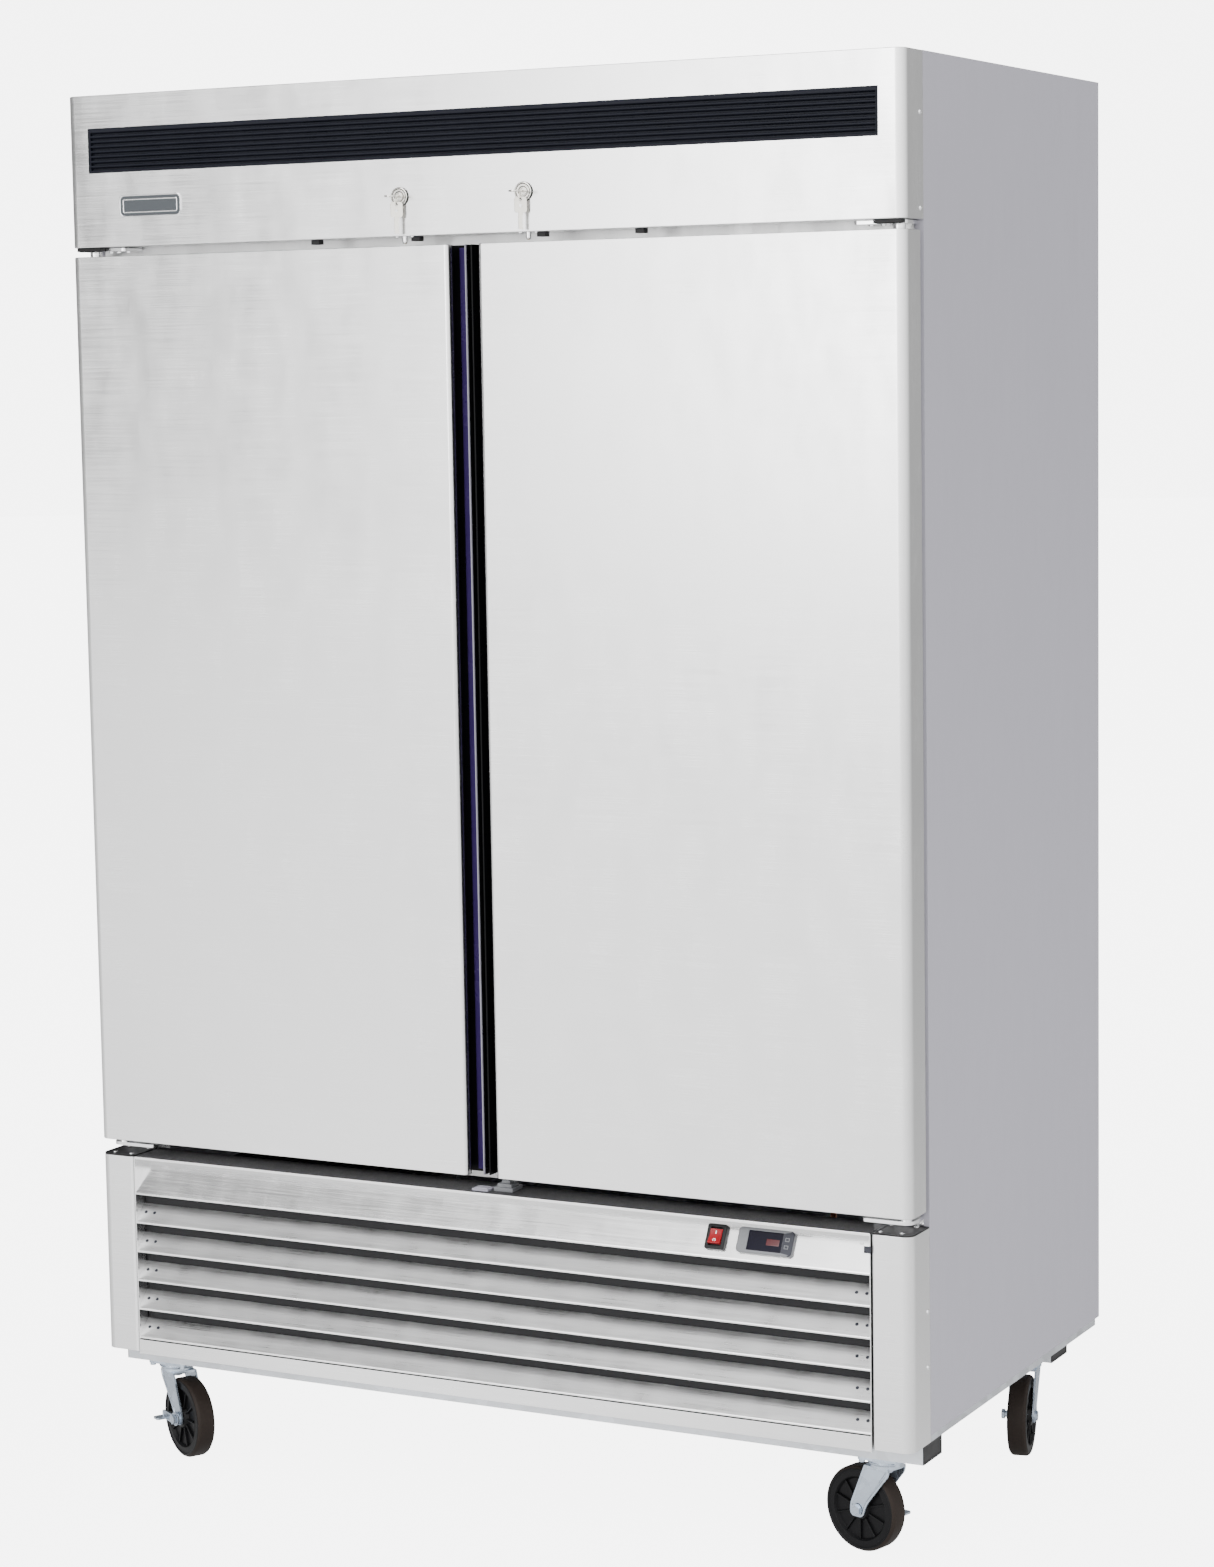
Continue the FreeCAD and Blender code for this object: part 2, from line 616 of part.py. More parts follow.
def make_locks():
    """Lock barrels in the header, keys with their plugs, spare keys on rings, and the bolts."""
    barrels = []
    key_front = FRONT - KEY_REACH
    bow_back = key_front + 2 * KEY_BOW_RADIUS
    for name, side in SIDES:
        x = side * LOCK_X
        face = FRONT - LOCK_FLANGE_PROUD
        flange = rod(LOCK_FLANGE_RADIUS, (x, face, LOCK_Z), (0, 1, 0), LOCK_FLANGE_PROUD)
        edge = [e for e in flange.Edges if e.BoundBox.YMax < face + 0.1]
        flange = flange.makeFillet(1.5, edge)
        barrel = rod(LOCK_FLANGE_RADIUS - 4.2, (x, FRONT, LOCK_Z), (0, 1, 0), 26)
        bore = rod(LOCK_PLUG_RADIUS + RUN_CLEARANCE, (x, FRONT - 5, LOCK_Z), (0, 1, 0), 40)
        barrels.append(fuse([flange, barrel]).cut(bore))

        plug_face = FRONT - LOCK_PLUG_PROUD
        plug = rod(LOCK_PLUG_RADIUS, (x, plug_face, LOCK_Z), (0, 1, 0), 32)
        cam = box(x - 4, FRONT + 26.4, LOCK_Z - 14, x + 4, FRONT + 28, LOCK_Z + 5)
        neck = rod(KEY_NECK_RADIUS, (x, bow_back - 1, LOCK_Z), (0, 1, 0), plug_face - bow_back + 1)
        bow = rod(KEY_BOW_RADIUS, (x, key_front + KEY_BOW_RADIUS, LOCK_Z - 1), (0, 0, 1), 2)
        eye = rod(2.6, (x, key_front + 5, LOCK_Z - 2), (0, 0, 1), 4)
        save("lock_key_" + name, fuse([plug, cam, neck, bow]).cut(eye))

        # the ring hangs on the key's round neck, turned a little about the upright
        turn = -50.0
        ring_radius = 6.5
        wire_radius = 0.7
        ring_y = (bow_back + face) / 2
        ring_z = LOCK_Z + KEY_NECK_RADIUS + 0.2 - (ring_radius - wire_radius)
        ring = Part.makeTorus(ring_radius, wire_radius, Vector(0, 0, ring_z), Vector(0, 1, 0))
        hole_z = ring_z - ring_radius + 0.8 - 2.2
        head = box(-0.8, -9, hole_z - 18.5, 0.8, 9, hole_z + 4.2)
        head = head.makeFillet(4.0, [e for e in head.Edges if abs(e.Length - 1.6) < 0.01])
        blade = box(-0.8, -3.6, hole_z - 42.0, 0.8, 3.6, hole_z - 18)
        hole = rod(2.2, (-2, 0, hole_z), (1, 0, 0), 4)
        spare = fuse([head, blade]).cut(hole)
        pieces = []
        for piece in (ring, spare):
            piece.rotate(Vector(0, 0, 0), UP, turn)
            piece.translate(Vector(x, ring_y, 0))
            pieces.append(piece)
        save("spare_key_" + name, *pieces)

        tip = DOOR_TOP + 3.0
        shank = rod(BOLT_RADIUS, (x, BOLT_Y, tip + BOLT_RADIUS), (0, 0, 1), 46.0)
        end = Part.makeSphere(BOLT_RADIUS, Vector(x, BOLT_Y, tip + BOLT_RADIUS))
        save("lock_bolt_" + name, fuse([shank, end]))
    save("lock_barrels", *barrels)


def fan(radius, depth):
    """A four-bladed fan about the Z axis, from z = 0 up, with its hub bored for a shaft."""
    hub = Part.makeCylinder(FAN_HUB_RADIUS, depth)
    blades = []
    for i in range(4):
        blade = Part.makeBox(radius - 22.0, 62.0, 2.0, Vector(20.0, -31.0, -1.0))
        blade.rotate(Vector(0, 0, 0), Vector(1, 0, 0), 22.0)
        blade.rotate(Vector(0, 0, 0), UP, 90.0 * i)
        blade.translate(Vector(0, 0, depth / 2))
        blades.append(blade)
    trimmed = fuse([hub] + blades).common(Part.makeCylinder(radius, depth + 40, Vector(0, 0, -20)))
    return trimmed.cut(Part.makeCylinder(FAN_SHAFT + RUN_CLEARANCE, depth + 2, Vector(0, 0, -1)))


def make_evaporator():
    """The cooling module under the liner's ceiling: cover, coil and fan."""
    half = COVER_HALF
    low = COVER_LOW
    front = COVER_FRONT
    x, y, z, radius = EVAPORATOR_FAN
    shell = box(-half, front, low, half, COVER_BACK, INNER_TOP - 0.5)
    hollow = box(-half + SHEET, front + SHEET, low + SHEET, half - SHEET, COVER_BACK - SHEET, INNER_TOP)
    cover = shell.cut([hollow, rod(radius + 6, (x, y, low - 1), (0, 0, 1), 4)])
    outlets = []
    first_slot = -OUTLET_PITCH * (OUTLET_COLUMNS - 1) / 2 - OUTLET_WIDTH / 2
    for i in range(OUTLET_COLUMNS):
        slot_x = first_slot + i * OUTLET_PITCH
        for slot_z in OUTLET_ROWS:
            outlets.append(
                box(slot_x, front - 1, slot_z, slot_x + OUTLET_WIDTH, front + 4, slot_z + OUTLET_HEIGHT)
            )
    cover = cover.cut(outlets)
    strap = box(x - radius - 30, y - 12, z + 52, x + radius + 30, y + 12, z + 55)
    stands = []
    for _, side in SIDES:
        stand_x = x + side * (radius + 26)
        stands.append(box(stand_x - 3, y - 12, low, stand_x + 3, y + 12, z + 53))
    motor = rod(34.0, (x, y, z + 24), (0, 0, 1), 30)
    shaft = rod(FAN_SHAFT, (x, y, z + 4), (0, 0, 1), 22)
    save("evaporator_cover", fuse([cover, strap, motor, shaft] + stands))
    blades = fan(radius, FAN_DEPTH)
    blades.translate(Vector(x, y, z))
    save("evaporator_fan", blades)
    coil = []
    fin_pitch = 40.0
    fin = 3.0
    for i in range(24):
        fin_x = -460 + i * fin_pitch
        coil.append(box(fin_x, 110, low + 20, fin_x + fin, 260, INNER_TOP - 29))
    for i in range(3):
        for j in range(2):
            coil.append(rod(6.0, (-470, 140 + 45 * i, 1920 + 60 * j), (1, 0, 0), 950))
    save("evaporator_coil", fuse(coil))


def make_machine_bay():
    """Floor pan and ceiling, compressor, condenser with its shroud and fan, rear grille and cord gland."""
    half = HALF_WIDTH - SHEET - BODY_GAP
    pan_wall = 1.5
    pan_low = CHANNEL_TOP
    pan_front = CABINET_FRONT + 2
    pan_back = BACK - 14
    outer = box(-half, pan_front, pan_low, half, pan_back, pan_low + 28)
    inner = box(
        -half + pan_wall,
        pan_front + pan_wall,
        pan_low + pan_wall,
        half - pan_wall,
        pan_back - pan_wall,
        pan_low + 30,
    )
    mouth = box(-half + 20, CABINET_FRONT, pan_low + 8, half - 20, CABINET_FRONT + 4, pan_low + 30)
    ceiling = box(-half, CABINET_FRONT + 3 * SHEET, BAY_TOP, half, BACK - SHEET, BAY_TOP + SHEET)
    save("machine_bay_panels", outer.cut([inner, mouth]), ceiling)

    floor = pan_low + pan_wall
    cx, cy = COMPRESSOR_AT
    can = rod(COMPRESSOR_RADIUS, (cx, cy, floor + 22), (0, 0, 1), COMPRESSOR_HEIGHT)
    can = can.makeFillet(38.0, [e for e in can.Edges if e.Closed])
    foot = box(cx - 110, cy - 75, floor + 16, cx + 110, cy + 75, floor + 25)
    grommets = []
    for dx in (-95, 95):
        for dy in (-60, 60):
            grommets.append(rod(12.0, (cx + dx, cy + dy, floor), (0, 0, 1), 17))
    terminal_box = box(cx - 126, cy - 26, floor + 80, cx - 78, cy + 26, floor + 140)
    save("compressor", fuse([can, foot, terminal_box] + grommets))

    x, y, z, radius = CONDENSER_FAN
    coil = []
    fin_pitch = 15.0
    fin = 2.0
    for i in range(26):
        fin_x = x - 186 + i * fin_pitch
        coil.append(box(fin_x, y - 66, floor, fin_x + fin, y - 20, CONDENSER_TOP))
    for i in range(2):
        for j in range(6):
            coil.append(rod(5.0, (x - 192, y - 54 + 22 * i, 212 + 42 * j), (1, 0, 0), 384))
    save("condenser_coil", fuse(coil))
    left = x - CONDENSER_HALF
    right = x + CONDENSER_HALF
    wall = 2.0
    plate = box(left, y - 8, floor, right, y - 6, CONDENSER_TOP)
    rim = box(left, y - 19.5, floor, right, y - 6, CONDENSER_TOP)
    rim = rim.cut(box(left + wall, y - 20, floor + wall, right - wall, y - 5, CONDENSER_TOP - wall))
    mouth = rod(radius + 6, (x, y - 30, z), (0, 1, 0), 40)
    arms = []
    for _, side in SIDES:
        arm_x = x + side * (radius + 22)
        arms.append(box(arm_x - 4, y - 8, z - 14, arm_x + 4, y + 60, z + 14))
    bridge = box(x - radius - 26, y + 57, z - 14, x + radius + 26, y + 60, z + 14)
    motor = rod(36.0, (x, y + 26, z), (0, 1, 0), 33)
    shaft = rod(FAN_SHAFT, (x, y + 4, z), (0, 1, 0), 24)
    shroud = fuse([plate.cut(mouth), rim.cut(mouth)] + arms + [bridge, motor, shaft])
    save("fan_shroud", shroud)
    blades = fan(radius, FAN_DEPTH)
    blades.rotate(Vector(0, 0, 0), Vector(1, 0, 0), -90.0)
    blades.translate(Vector(x, y, z))
    save("condenser_fan", blades)

    grille_y = BACK - 13.0
    grille = box(-half, grille_y, CABINET_BOTTOM + 1, half, grille_y + SHEET, BAY_TOP - 2)
    slots = []
    for row in range(GRILLE_ROWS):
        for column in range(GRILLE_COLUMNS):
            slot_x = -600.0 + column * 290.0
            slot_z = 240.0 + row * 30.0
            slots.append(box(slot_x, grille_y - 1, slot_z, slot_x + 230, grille_y + 3, slot_z + 10))
    gland_at = (GLAND_AT[0], grille_y, GLAND_AT[1])
    slots.append(rod(8.2, gland_at, (0, 1, 0), 5))
    save("rear_grille", grille.cut(slots))
    collar = rod(12.0, (gland_at[0], grille_y + SHEET + 0.05, gland_at[2]), (0, 1, 0), 11)
    sleeve = rod(8.0, (gland_at[0], grille_y - 10, gland_at[2]), (0, 1, 0), 15)
    bore = rod(4.5, (gland_at[0], grille_y - 11, gland_at[2]), (0, 1, 0), 30)
    save("cord_gland", fuse([collar, sleeve]).cut(bore))


def make_shelves():
    """Wire shelves on clips, and the slotted rails that the clips hook into."""
    bar = SHELF_BAR
    wire = SHELF_WIRE
    frame = [
        box(0, 0, 0, SHELF_WIDTH, bar, bar),
        box(0, SHELF_DEPTH - bar, 0, SHELF_WIDTH, SHELF_DEPTH, bar),
        box(0, 0, 0, bar, SHELF_DEPTH, bar),
        box(SHELF_WIDTH - bar, 0, 0, SHELF_WIDTH, SHELF_DEPTH, bar),
        box(0, SHELF_DEPTH / 2 - bar / 2, 0, SHELF_WIDTH, SHELF_DEPTH / 2 + bar / 2, bar),
    ]
    pitch = (SHELF_WIDTH - bar) / (SHELF_WIRES + 1)
    for i in range(SHELF_WIRES):
        x = bar / 2 + (i + 1) * pitch
        frame.append(box(x - wire / 2, 0, bar - 1, x + wire / 2, SHELF_DEPTH, bar - 1 + wire))
    one = fuse(frame)
    shelves = []
    clips = []
    inner_x = INNER_HALF - 7.0 - SHELF_WIDTH
    for level in SHELF_LEVELS:
        for _, side in SIDES:
            shelf = one.copy()
            shelf.translate(Vector(inner_x, SHELF_FRONT, level))
            shelves.append(mirrored(shelf, side))
            for y in RAIL_Y:
                hook_x = INNER_HALF - 6
                tongue = side_box(side, hook_x - 20, y - 6, level - 3, hook_x, y + 6, level - 0.2)
                hook = side_box(side, hook_x - 3, y - 6, level - 16, hook_x, y + 6, level - 0.2)
                clips.append(fuse([tongue, hook]))
            for y, reach in ((MULLION_RAIL_Y + 6, 24.0), (INNER_BACK - 6, -36.0)):
                low, high = sorted((y, y + reach))
                clips.append(side_box(side, 12, low, level - 3, inner_x + 14, high, level - 0.2))
    save("wire_shelves", *shelves)

    height = DOORWAY_TOP - INNER_FLOOR - 2 * RAIL_END_GAP
    rail_half = RAIL_SIZE[0] / 2
    depth = RAIL_SIZE[1]
    rail = box(-rail_half, 0, 0, rail_half, depth, height)
    rail = rail.cut(box(RAIL_WALL - rail_half, 1.5, -1, rail_half - RAIL_WALL, depth + 1, height + 1))
    slots = []
    for i in range(int(height / RAIL_PITCH) - 1):
        slot_z = 30 + RAIL_PITCH * i
        slots.append(box(-3, -1, slot_z, 3, 3, slot_z + 12))
    rail = rail.cut(slots)
    rails = []
    foot = INNER_FLOOR + RAIL_END_GAP
    for _, side in SIDES:
        for y in RAIL_Y:
            wall_rail = rail.copy()
            wall_rail.rotate(Vector(0, 0, 0), UP, -90.0 * side)
            wall_rail.translate(Vector(side * (INNER_HALF - depth), y, foot))
            rails.append(wall_rail)
    rear = rail.copy()
    rear.translate(Vector(0, INNER_BACK - depth, foot))
    rails.append(rear)
    front = rail.copy()
    front.rotate(Vector(0, 0, 0), UP, 180.0)
    front.translate(Vector(0, MULLION_RAIL_Y + depth, foot))
    rails.append(front)
    save("shelf_supports", *(rails + clips))


def make_base():
    """The two channels under the cabinet that carry the casters."""
    channels = []
    wall = CHANNEL_WALL
    for half, near in ((HALF_WIDTH - 5, FRONT + 50), (HALF_WIDTH - 24, FRONT + 621)):
        far = near + CHANNEL_WIDTH
        tube = box(-half, near, CHANNEL_BOTTOM, half, far, CHANNEL_TOP)
        bore = box(-half - 1, near + wall, CHANNEL_BOTTOM + wall, half + 1, far - wall, CHANNEL_TOP - wall)
        channels.append(tube.cut(bore))
    save("caster_channels", *channels)


def make_casters():
    """Swivel casters: fixed mounting plates, then each fork with its axle, its wheel and its brake lever."""
    pin_radius = CASTER_PIN_RADIUS
    head_low = FORK_TOP + BODY_GAP
    pad_x, pad_y, pad_thick = CASTER_PAD
    plates = []
    for name, x, y, turn, braked in CASTERS:
        place = Vector(x, FRONT + y, 0)

        def put(shape):
            shape.rotate(Vector(0, 0, 0), UP, turn)
            shape.translate(place)
            return shape

        pad = box(-pad_x, -pad_y, CHANNEL_BOTTOM - pad_thick, pad_x, pad_y, CHANNEL_BOTTOM)
        race_depth = CHANNEL_BOTTOM - pad_thick - head_low
        race = Part.makeCylinder(CASTER_RACE_RADIUS, race_depth, Vector(0, 0, head_low))
        race = race.makeFillet(4.0, [e for e in race.Edges if e.Closed and e.BoundBox.ZMax < head_low + 0.1])
        bore = Part.makeCylinder(pin_radius + RUN_CLEARANCE, 30, Vector(0, 0, head_low - 1))
        plate = fuse([pad, race]).cut(bore)
        plate.translate(place)
        plates.append(plate)

        crown = Part.makeCylinder(CASTER_CROWN_RADIUS, 5.0, Vector(0, 0, FORK_TOP - 5))
        bridge = box(-18, -LEG_OUTSIDE, FORK_TOP - 8, 26, LEG_OUTSIDE, FORK_TOP - 4)
        pin = Part.makeCylinder(pin_radius, CHANNEL_BOTTOM - 2 - FORK_TOP + 5, Vector(0, 0, FORK_TOP - 5))
        legs = []
        for s in (-1, 1):
            edge = [
                Vector(-18, 0, FORK_TOP - 4),
                Vector(26, 0, FORK_TOP - 4),
                Vector(TRAIL + 13, 0, WHEEL_RADIUS + 4),
                Vector(TRAIL + 9, 0, WHEEL_RADIUS - 10),
                Vector(TRAIL - 9, 0, WHEEL_RADIUS - 10),
                Vector(TRAIL - 16, 0, WHEEL_RADIUS + 8),
            ]
            leg = Part.Face(Part.makePolygon(edge + edge[:1])).extrude(Vector(0, LEG_THICKNESS, 0))
            leg.translate(Vector(0, LEG_OUTSIDE - LEG_THICKNESS if s > 0 else -LEG_OUTSIDE, 0))
            legs.append(leg)
        axle_length = AXLE_HEAD + LEG_OUTSIDE + 4
        axle = rod(AXLE_RADIUS, (TRAIL, -AXLE_HEAD, WHEEL_RADIUS), (0, 1, 0), axle_length)
        nut = rod(AXLE_HEAD_RADIUS, (TRAIL, LEG_OUTSIDE, WHEEL_RADIUS), (0, 1, 0), 4)
        head = rod(AXLE_HEAD_RADIUS, (TRAIL, -AXLE_HEAD, WHEEL_RADIUS), (0, 1, 0), 4)
        save("caster_fork_" + name, put(fuse([crown, bridge, pin, axle, nut, head] + legs)))

        save("caster_wheel_" + name, put(wheel()))
        if braked:
            near = BRAKE_THICKNESS - BRAKE_FAR
            arm = box(-6, -BRAKE_FAR, WHEEL_RADIUS - 9, TRAIL, near, WHEEL_RADIUS + 5)
            hub = rod(11.0, (TRAIL, -BRAKE_FAR, WHEEL_RADIUS), (0, 1, 0), BRAKE_THICKNESS)
            tab = box(-14, -40, WHEEL_RADIUS - 9, 4, near, WHEEL_RADIUS - 6)
            eye = rod(AXLE_RADIUS + RUN_CLEARANCE, (TRAIL, -30, WHEEL_RADIUS), (0, 1, 0), 10)
            save("brake_lever_" + name.split("_")[1], put(fuse([arm, hub, tab]).cut(eye)))
    save("caster_plates", *plates)


def wheel():
    """A caster wheel with a crowned tread, a dished web and a hub bored for the axle."""
    half = WHEEL_WIDTH / 2
    bore = AXLE_RADIUS + RUN_CLEARANCE
    section = [
        Vector(bore, -half - 0.8, 0),
        Vector(14, -half - 0.8, 0),
        Vector(17, -half + 6, 0),
        Vector(44, -half + 6, 0),
        Vector(48, -half + 1, 0),
        Vector(WHEEL_RADIUS - 4, -half + 1, 0),
        Vector(WHEEL_RADIUS, -half + 6, 0),
        Vector(WHEEL_RADIUS, half - 6, 0),
        Vector(WHEEL_RADIUS - 4, half - 1, 0),
        Vector(48, half - 1, 0),
        Vector(44, half - 6, 0),
        Vector(17, half - 6, 0),
        Vector(14, half + 0.8, 0),
        Vector(bore, half + 0.8, 0),
    ]
    face = Part.Face(Part.makePolygon(section + section[:1]))
    turned = face.revolve(Vector(0, 0, 0), Vector(0, 1, 0), 360)
    turned.translate(Vector(TRAIL, 0, WHEEL_RADIUS))
    return turned


def screw(at, direction, radius=3.6, proud=1.6, shank=5.0):
    """A pan-head screw; it stands on a surface at a point and goes in against its direction."""
    x, y, z = at
    dx, dy, dz = direction
    head = rod(radius, at, direction, proud)
    body = rod(radius / 2, (x, y, z), (-dx, -dy, -dz), shank)
    return fuse([head, body])


def make_screws():
    """Screws on the hinge covers, the header's underside and the side strips."""
    screws = []
    for _, side in SIDES:
        for x, y in ((672.0, FRONT + 12), (640.0, FRONT + 10), (676.0, FRONT + 56), (638.0, FRONT + 54)):
            screws.append(screw((side * x, y, POST_TOP + 2.0 + 0.05), (0, 0, 1), shank=1.5))
        for offset in (-13.0, 13.0):
            x = side * LOCK_X + offset
            screws.append(screw((x, BOLT_Y, HEADER_BOTTOM - 0.05), (0, 0, -1), radius=4.0, shank=0.5))
        for z in (2055.0, 1925.0):
            screws.append(screw((side * HALF_WIDTH, FRONT + 58, z), (side, 0, 0), proud=1.2, shank=0.5))
        for z in (374.0, 293.0):
            screws.append(screw((side * HALF_WIDTH, FRONT + 60, z), (side, 0, 0), proud=1.2, shank=0.5))
    save("cover_screws", *screws)


os.makedirs("parts", exist_ok=True)
make_outer_panels()
make_foam_and_liner()
make_face_frame()
make_header()
make_posts()
make_louvres()
make_controls()
make_hinges()
make_doors()
make_locks()
make_evaporator()
make_machine_bay()
make_shelves()
make_base()
make_casters()
make_screws()
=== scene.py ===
"""Looks of a two-door reach-in refrigerator on casters, laid out as an add-on.

Lengths are in metres, +Z is up and the front faces -Y. Each operator makes one piece, or one group
of like pieces, around the fixed CAD model, and its panel lists them in the order they are made.
"""
import json
import math

import bmesh
import bpy
from bpy.props import FloatProperty, FloatVectorProperty, IntProperty, PointerProperty
from mathutils import Matrix, Vector


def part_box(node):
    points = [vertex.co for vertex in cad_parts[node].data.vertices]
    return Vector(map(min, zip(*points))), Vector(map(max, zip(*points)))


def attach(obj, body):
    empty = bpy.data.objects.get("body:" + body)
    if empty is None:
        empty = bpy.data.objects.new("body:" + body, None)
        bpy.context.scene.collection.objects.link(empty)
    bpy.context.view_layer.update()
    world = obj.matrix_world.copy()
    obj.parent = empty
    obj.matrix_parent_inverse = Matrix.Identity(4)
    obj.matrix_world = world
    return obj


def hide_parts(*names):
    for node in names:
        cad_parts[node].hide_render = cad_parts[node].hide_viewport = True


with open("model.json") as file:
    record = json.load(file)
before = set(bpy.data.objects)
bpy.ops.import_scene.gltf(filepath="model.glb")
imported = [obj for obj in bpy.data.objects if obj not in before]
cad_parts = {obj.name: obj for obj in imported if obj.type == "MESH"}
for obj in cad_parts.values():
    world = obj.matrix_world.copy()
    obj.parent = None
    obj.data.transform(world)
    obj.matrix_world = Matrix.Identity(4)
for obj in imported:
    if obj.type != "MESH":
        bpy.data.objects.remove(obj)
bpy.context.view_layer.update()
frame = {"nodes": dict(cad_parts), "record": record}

bl_info = {
    "name": "Reach-in Refrigerator",
    "version": (1, 0, 0),
    "blender": (4, 5, 0),
    "location": "View3D > Sidebar > Refrigerator",
    "description": "Models the visible pieces and finishes of a two-door reach-in refrigerator",
    "category": "Object",
}

NODES = frame["nodes"]
SIDES = (("left", -1), ("right", 1))
X, Y, Z = Vector((1, 0, 0)), Vector((0, 1, 0)), Vector((0, 0, 1))
MIRROR = Matrix.Scale(-1, 4, X)
NEAR = 1e-5  # two places closer than this are the same
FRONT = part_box("door_skin_right")[0].y
SHEET = 0.0012  # sheet steel
FINISHES = {}  # every material, by its short name


# ---- the maker's hand tools ----
def fresh():
    """Object mode, with nothing selected."""
    if bpy.context.object and bpy.context.object.mode != "OBJECT":
        bpy.ops.object.mode_set(mode="OBJECT")
    bpy.ops.object.select_all(action="DESELECT")


def hold(piece):
    """Make a piece the only selected one."""
    fresh()
    piece.select_set(True)
    bpy.context.view_layer.objects.active = piece
    return piece


def settled(name):
    """Name the new primitive and move its place into its mesh."""
    piece = bpy.context.object
    piece.name = name
    piece.data.name = name
    bpy.ops.object.transform_apply(location=True, rotation=True, scale=True)
    return piece


def block(name, low, high):
    """A box between two corners."""
    fresh()
    low, high = Vector(low), Vector(high)
    bpy.ops.mesh.primitive_cube_add(size=1.0, location=(low + high) / 2, scale=high - low)
    return settled(name)


def side_block(name, side, low, high):
    """A box given at positive x, put on one side of the object."""
    xs = sorted((side * low[0], side * high[0]))
    return block(name, (xs[0], low[1], low[2]), (xs[1], high[1], high[2]))


def rod(name, start, end, radius, sides=32):
    """A round bar between two points."""
    fresh()
    start, end = Vector(start), Vector(end)
    axis = end - start
    turn = axis.to_track_quat("Z", "Y").to_euler()
    bpy.ops.mesh.primitive_cylinder_add(
        vertices=sides, radius=radius, depth=axis.length, location=(start + end) / 2, rotation=turn,
    )
    return settled(name)


def ring(name, centre, axis, radius, wire, sides=48, wire_sides=12):
    """A round wire bent into a ring about an axis."""
    fresh()
    turn = Vector(axis).to_track_quat("Z", "Y").to_euler()
    bpy.ops.mesh.primitive_torus_add(
        major_radius=radius, minor_radius=wire, major_segments=sides, minor_segments=wire_sides,
        location=centre, rotation=turn,
    )
    return settled(name)


def select(piece, kind, test):
    """Edit mode, with the faces or edges selected that pass a test."""
    if piece.mode != "EDIT":
        hold(piece)
        bpy.ops.object.mode_set(mode="EDIT")
    bpy.ops.mesh.select_mode(type=kind)
    bpy.ops.mesh.select_all(action="DESELECT")
    mesh = bmesh.from_edit_mesh(piece.data)
    mesh.normal_update()
    for item in mesh.faces if kind == "FACE" else mesh.edges:
        if test(item):
            item.select_set(True)
    mesh.select_flush_mode()
    bmesh.update_edit_mesh(piece.data)


def faces(piece, direction, test=None, least=0.99):
    """Select the faces that look in a direction, and that pass a further test of their middle."""
    way = Vector(direction)

    def chosen(face):
        return face.normal.dot(way) > least and (test is None or test(face.calc_center_median()))

    select(piece, "FACE", chosen)


def edges(piece, test):
    """Select the edges whose ends both pass a test of their place."""
    select(piece, "EDGE", lambda edge: all(test(end.co) for end in edge.verts))


def long_edges(piece, axis, test=None):
    """Select the edges that run along an axis, and whose first end passes a further test."""
    select(piece, "EDGE", lambda edge: abs((edge.verts[0].co - edge.verts[1].co)[axis]) > NEAR
           and (test is None or test(edge.verts[0].co)))


def across(piece, axis, area=0.0):
    """Select the faces that lie across an axis and are larger than an area."""
    select(piece, "FACE", lambda face: abs(face.normal[axis]) > 0.9 and face.calc_area() > area)


def sides_of(piece, axis, test=None):
    """Select the faces that stand along an axis, and whose middle passes a further test."""
    select(piece, "FACE", lambda face: abs(face.normal[axis]) < 0.1
           and (test is None or test(face.calc_center_median())))


def move(offset):
    """Extrude what is selected along an offset."""
    bpy.ops.mesh.extrude_region_move(TRANSFORM_OT_translate={"value": offset})


def steps(*rises):
    """Inset the selected faces and raise each inset: (width, rise) pairs, from the outside in."""
    for width, rise in rises:
        bpy.ops.mesh.inset(thickness=max(width, 1e-6), depth=rise, use_even_offset=True)


def pressed(piece, direction, *rises):
    """Inset the faces that look in a direction, step by step."""
    faces(piece, direction)
    steps(*rises)


def soften(width, segments=3):
    """Bevel the selected edges."""
    bpy.ops.mesh.bevel(offset=width, segments=segments, affect="EDGES")


def cut(piece, at, normal, test=None):
    """Cut a piece's faces along a plane, leaving both halves."""
    select(piece, "FACE", test or (lambda face: True))
    bpy.ops.mesh.bisect(plane_co=at, plane_no=normal)


def window(piece, axis, level, low, high):
    """Cut an opening between two corners in the faces that lie level across an axis."""
    across = [i for i in range(3) if i != axis]

    def flat(face):
        return abs(face.normal[axis]) > 0.99 and abs(face.calc_center_median()[axis] - level) < NEAR

    for i in across:
        normal = Vector([float(j == i) for j in range(3)])
        for value in (low[i], high[i]):
            cut(piece, normal * value, normal, flat)

    def inside(face):
        middle = face.calc_center_median()
        return flat(face) and all(low[i] < middle[i] < high[i] for i in across)

    select(piece, "FACE", inside)
    bpy.ops.mesh.delete(type="FACE")


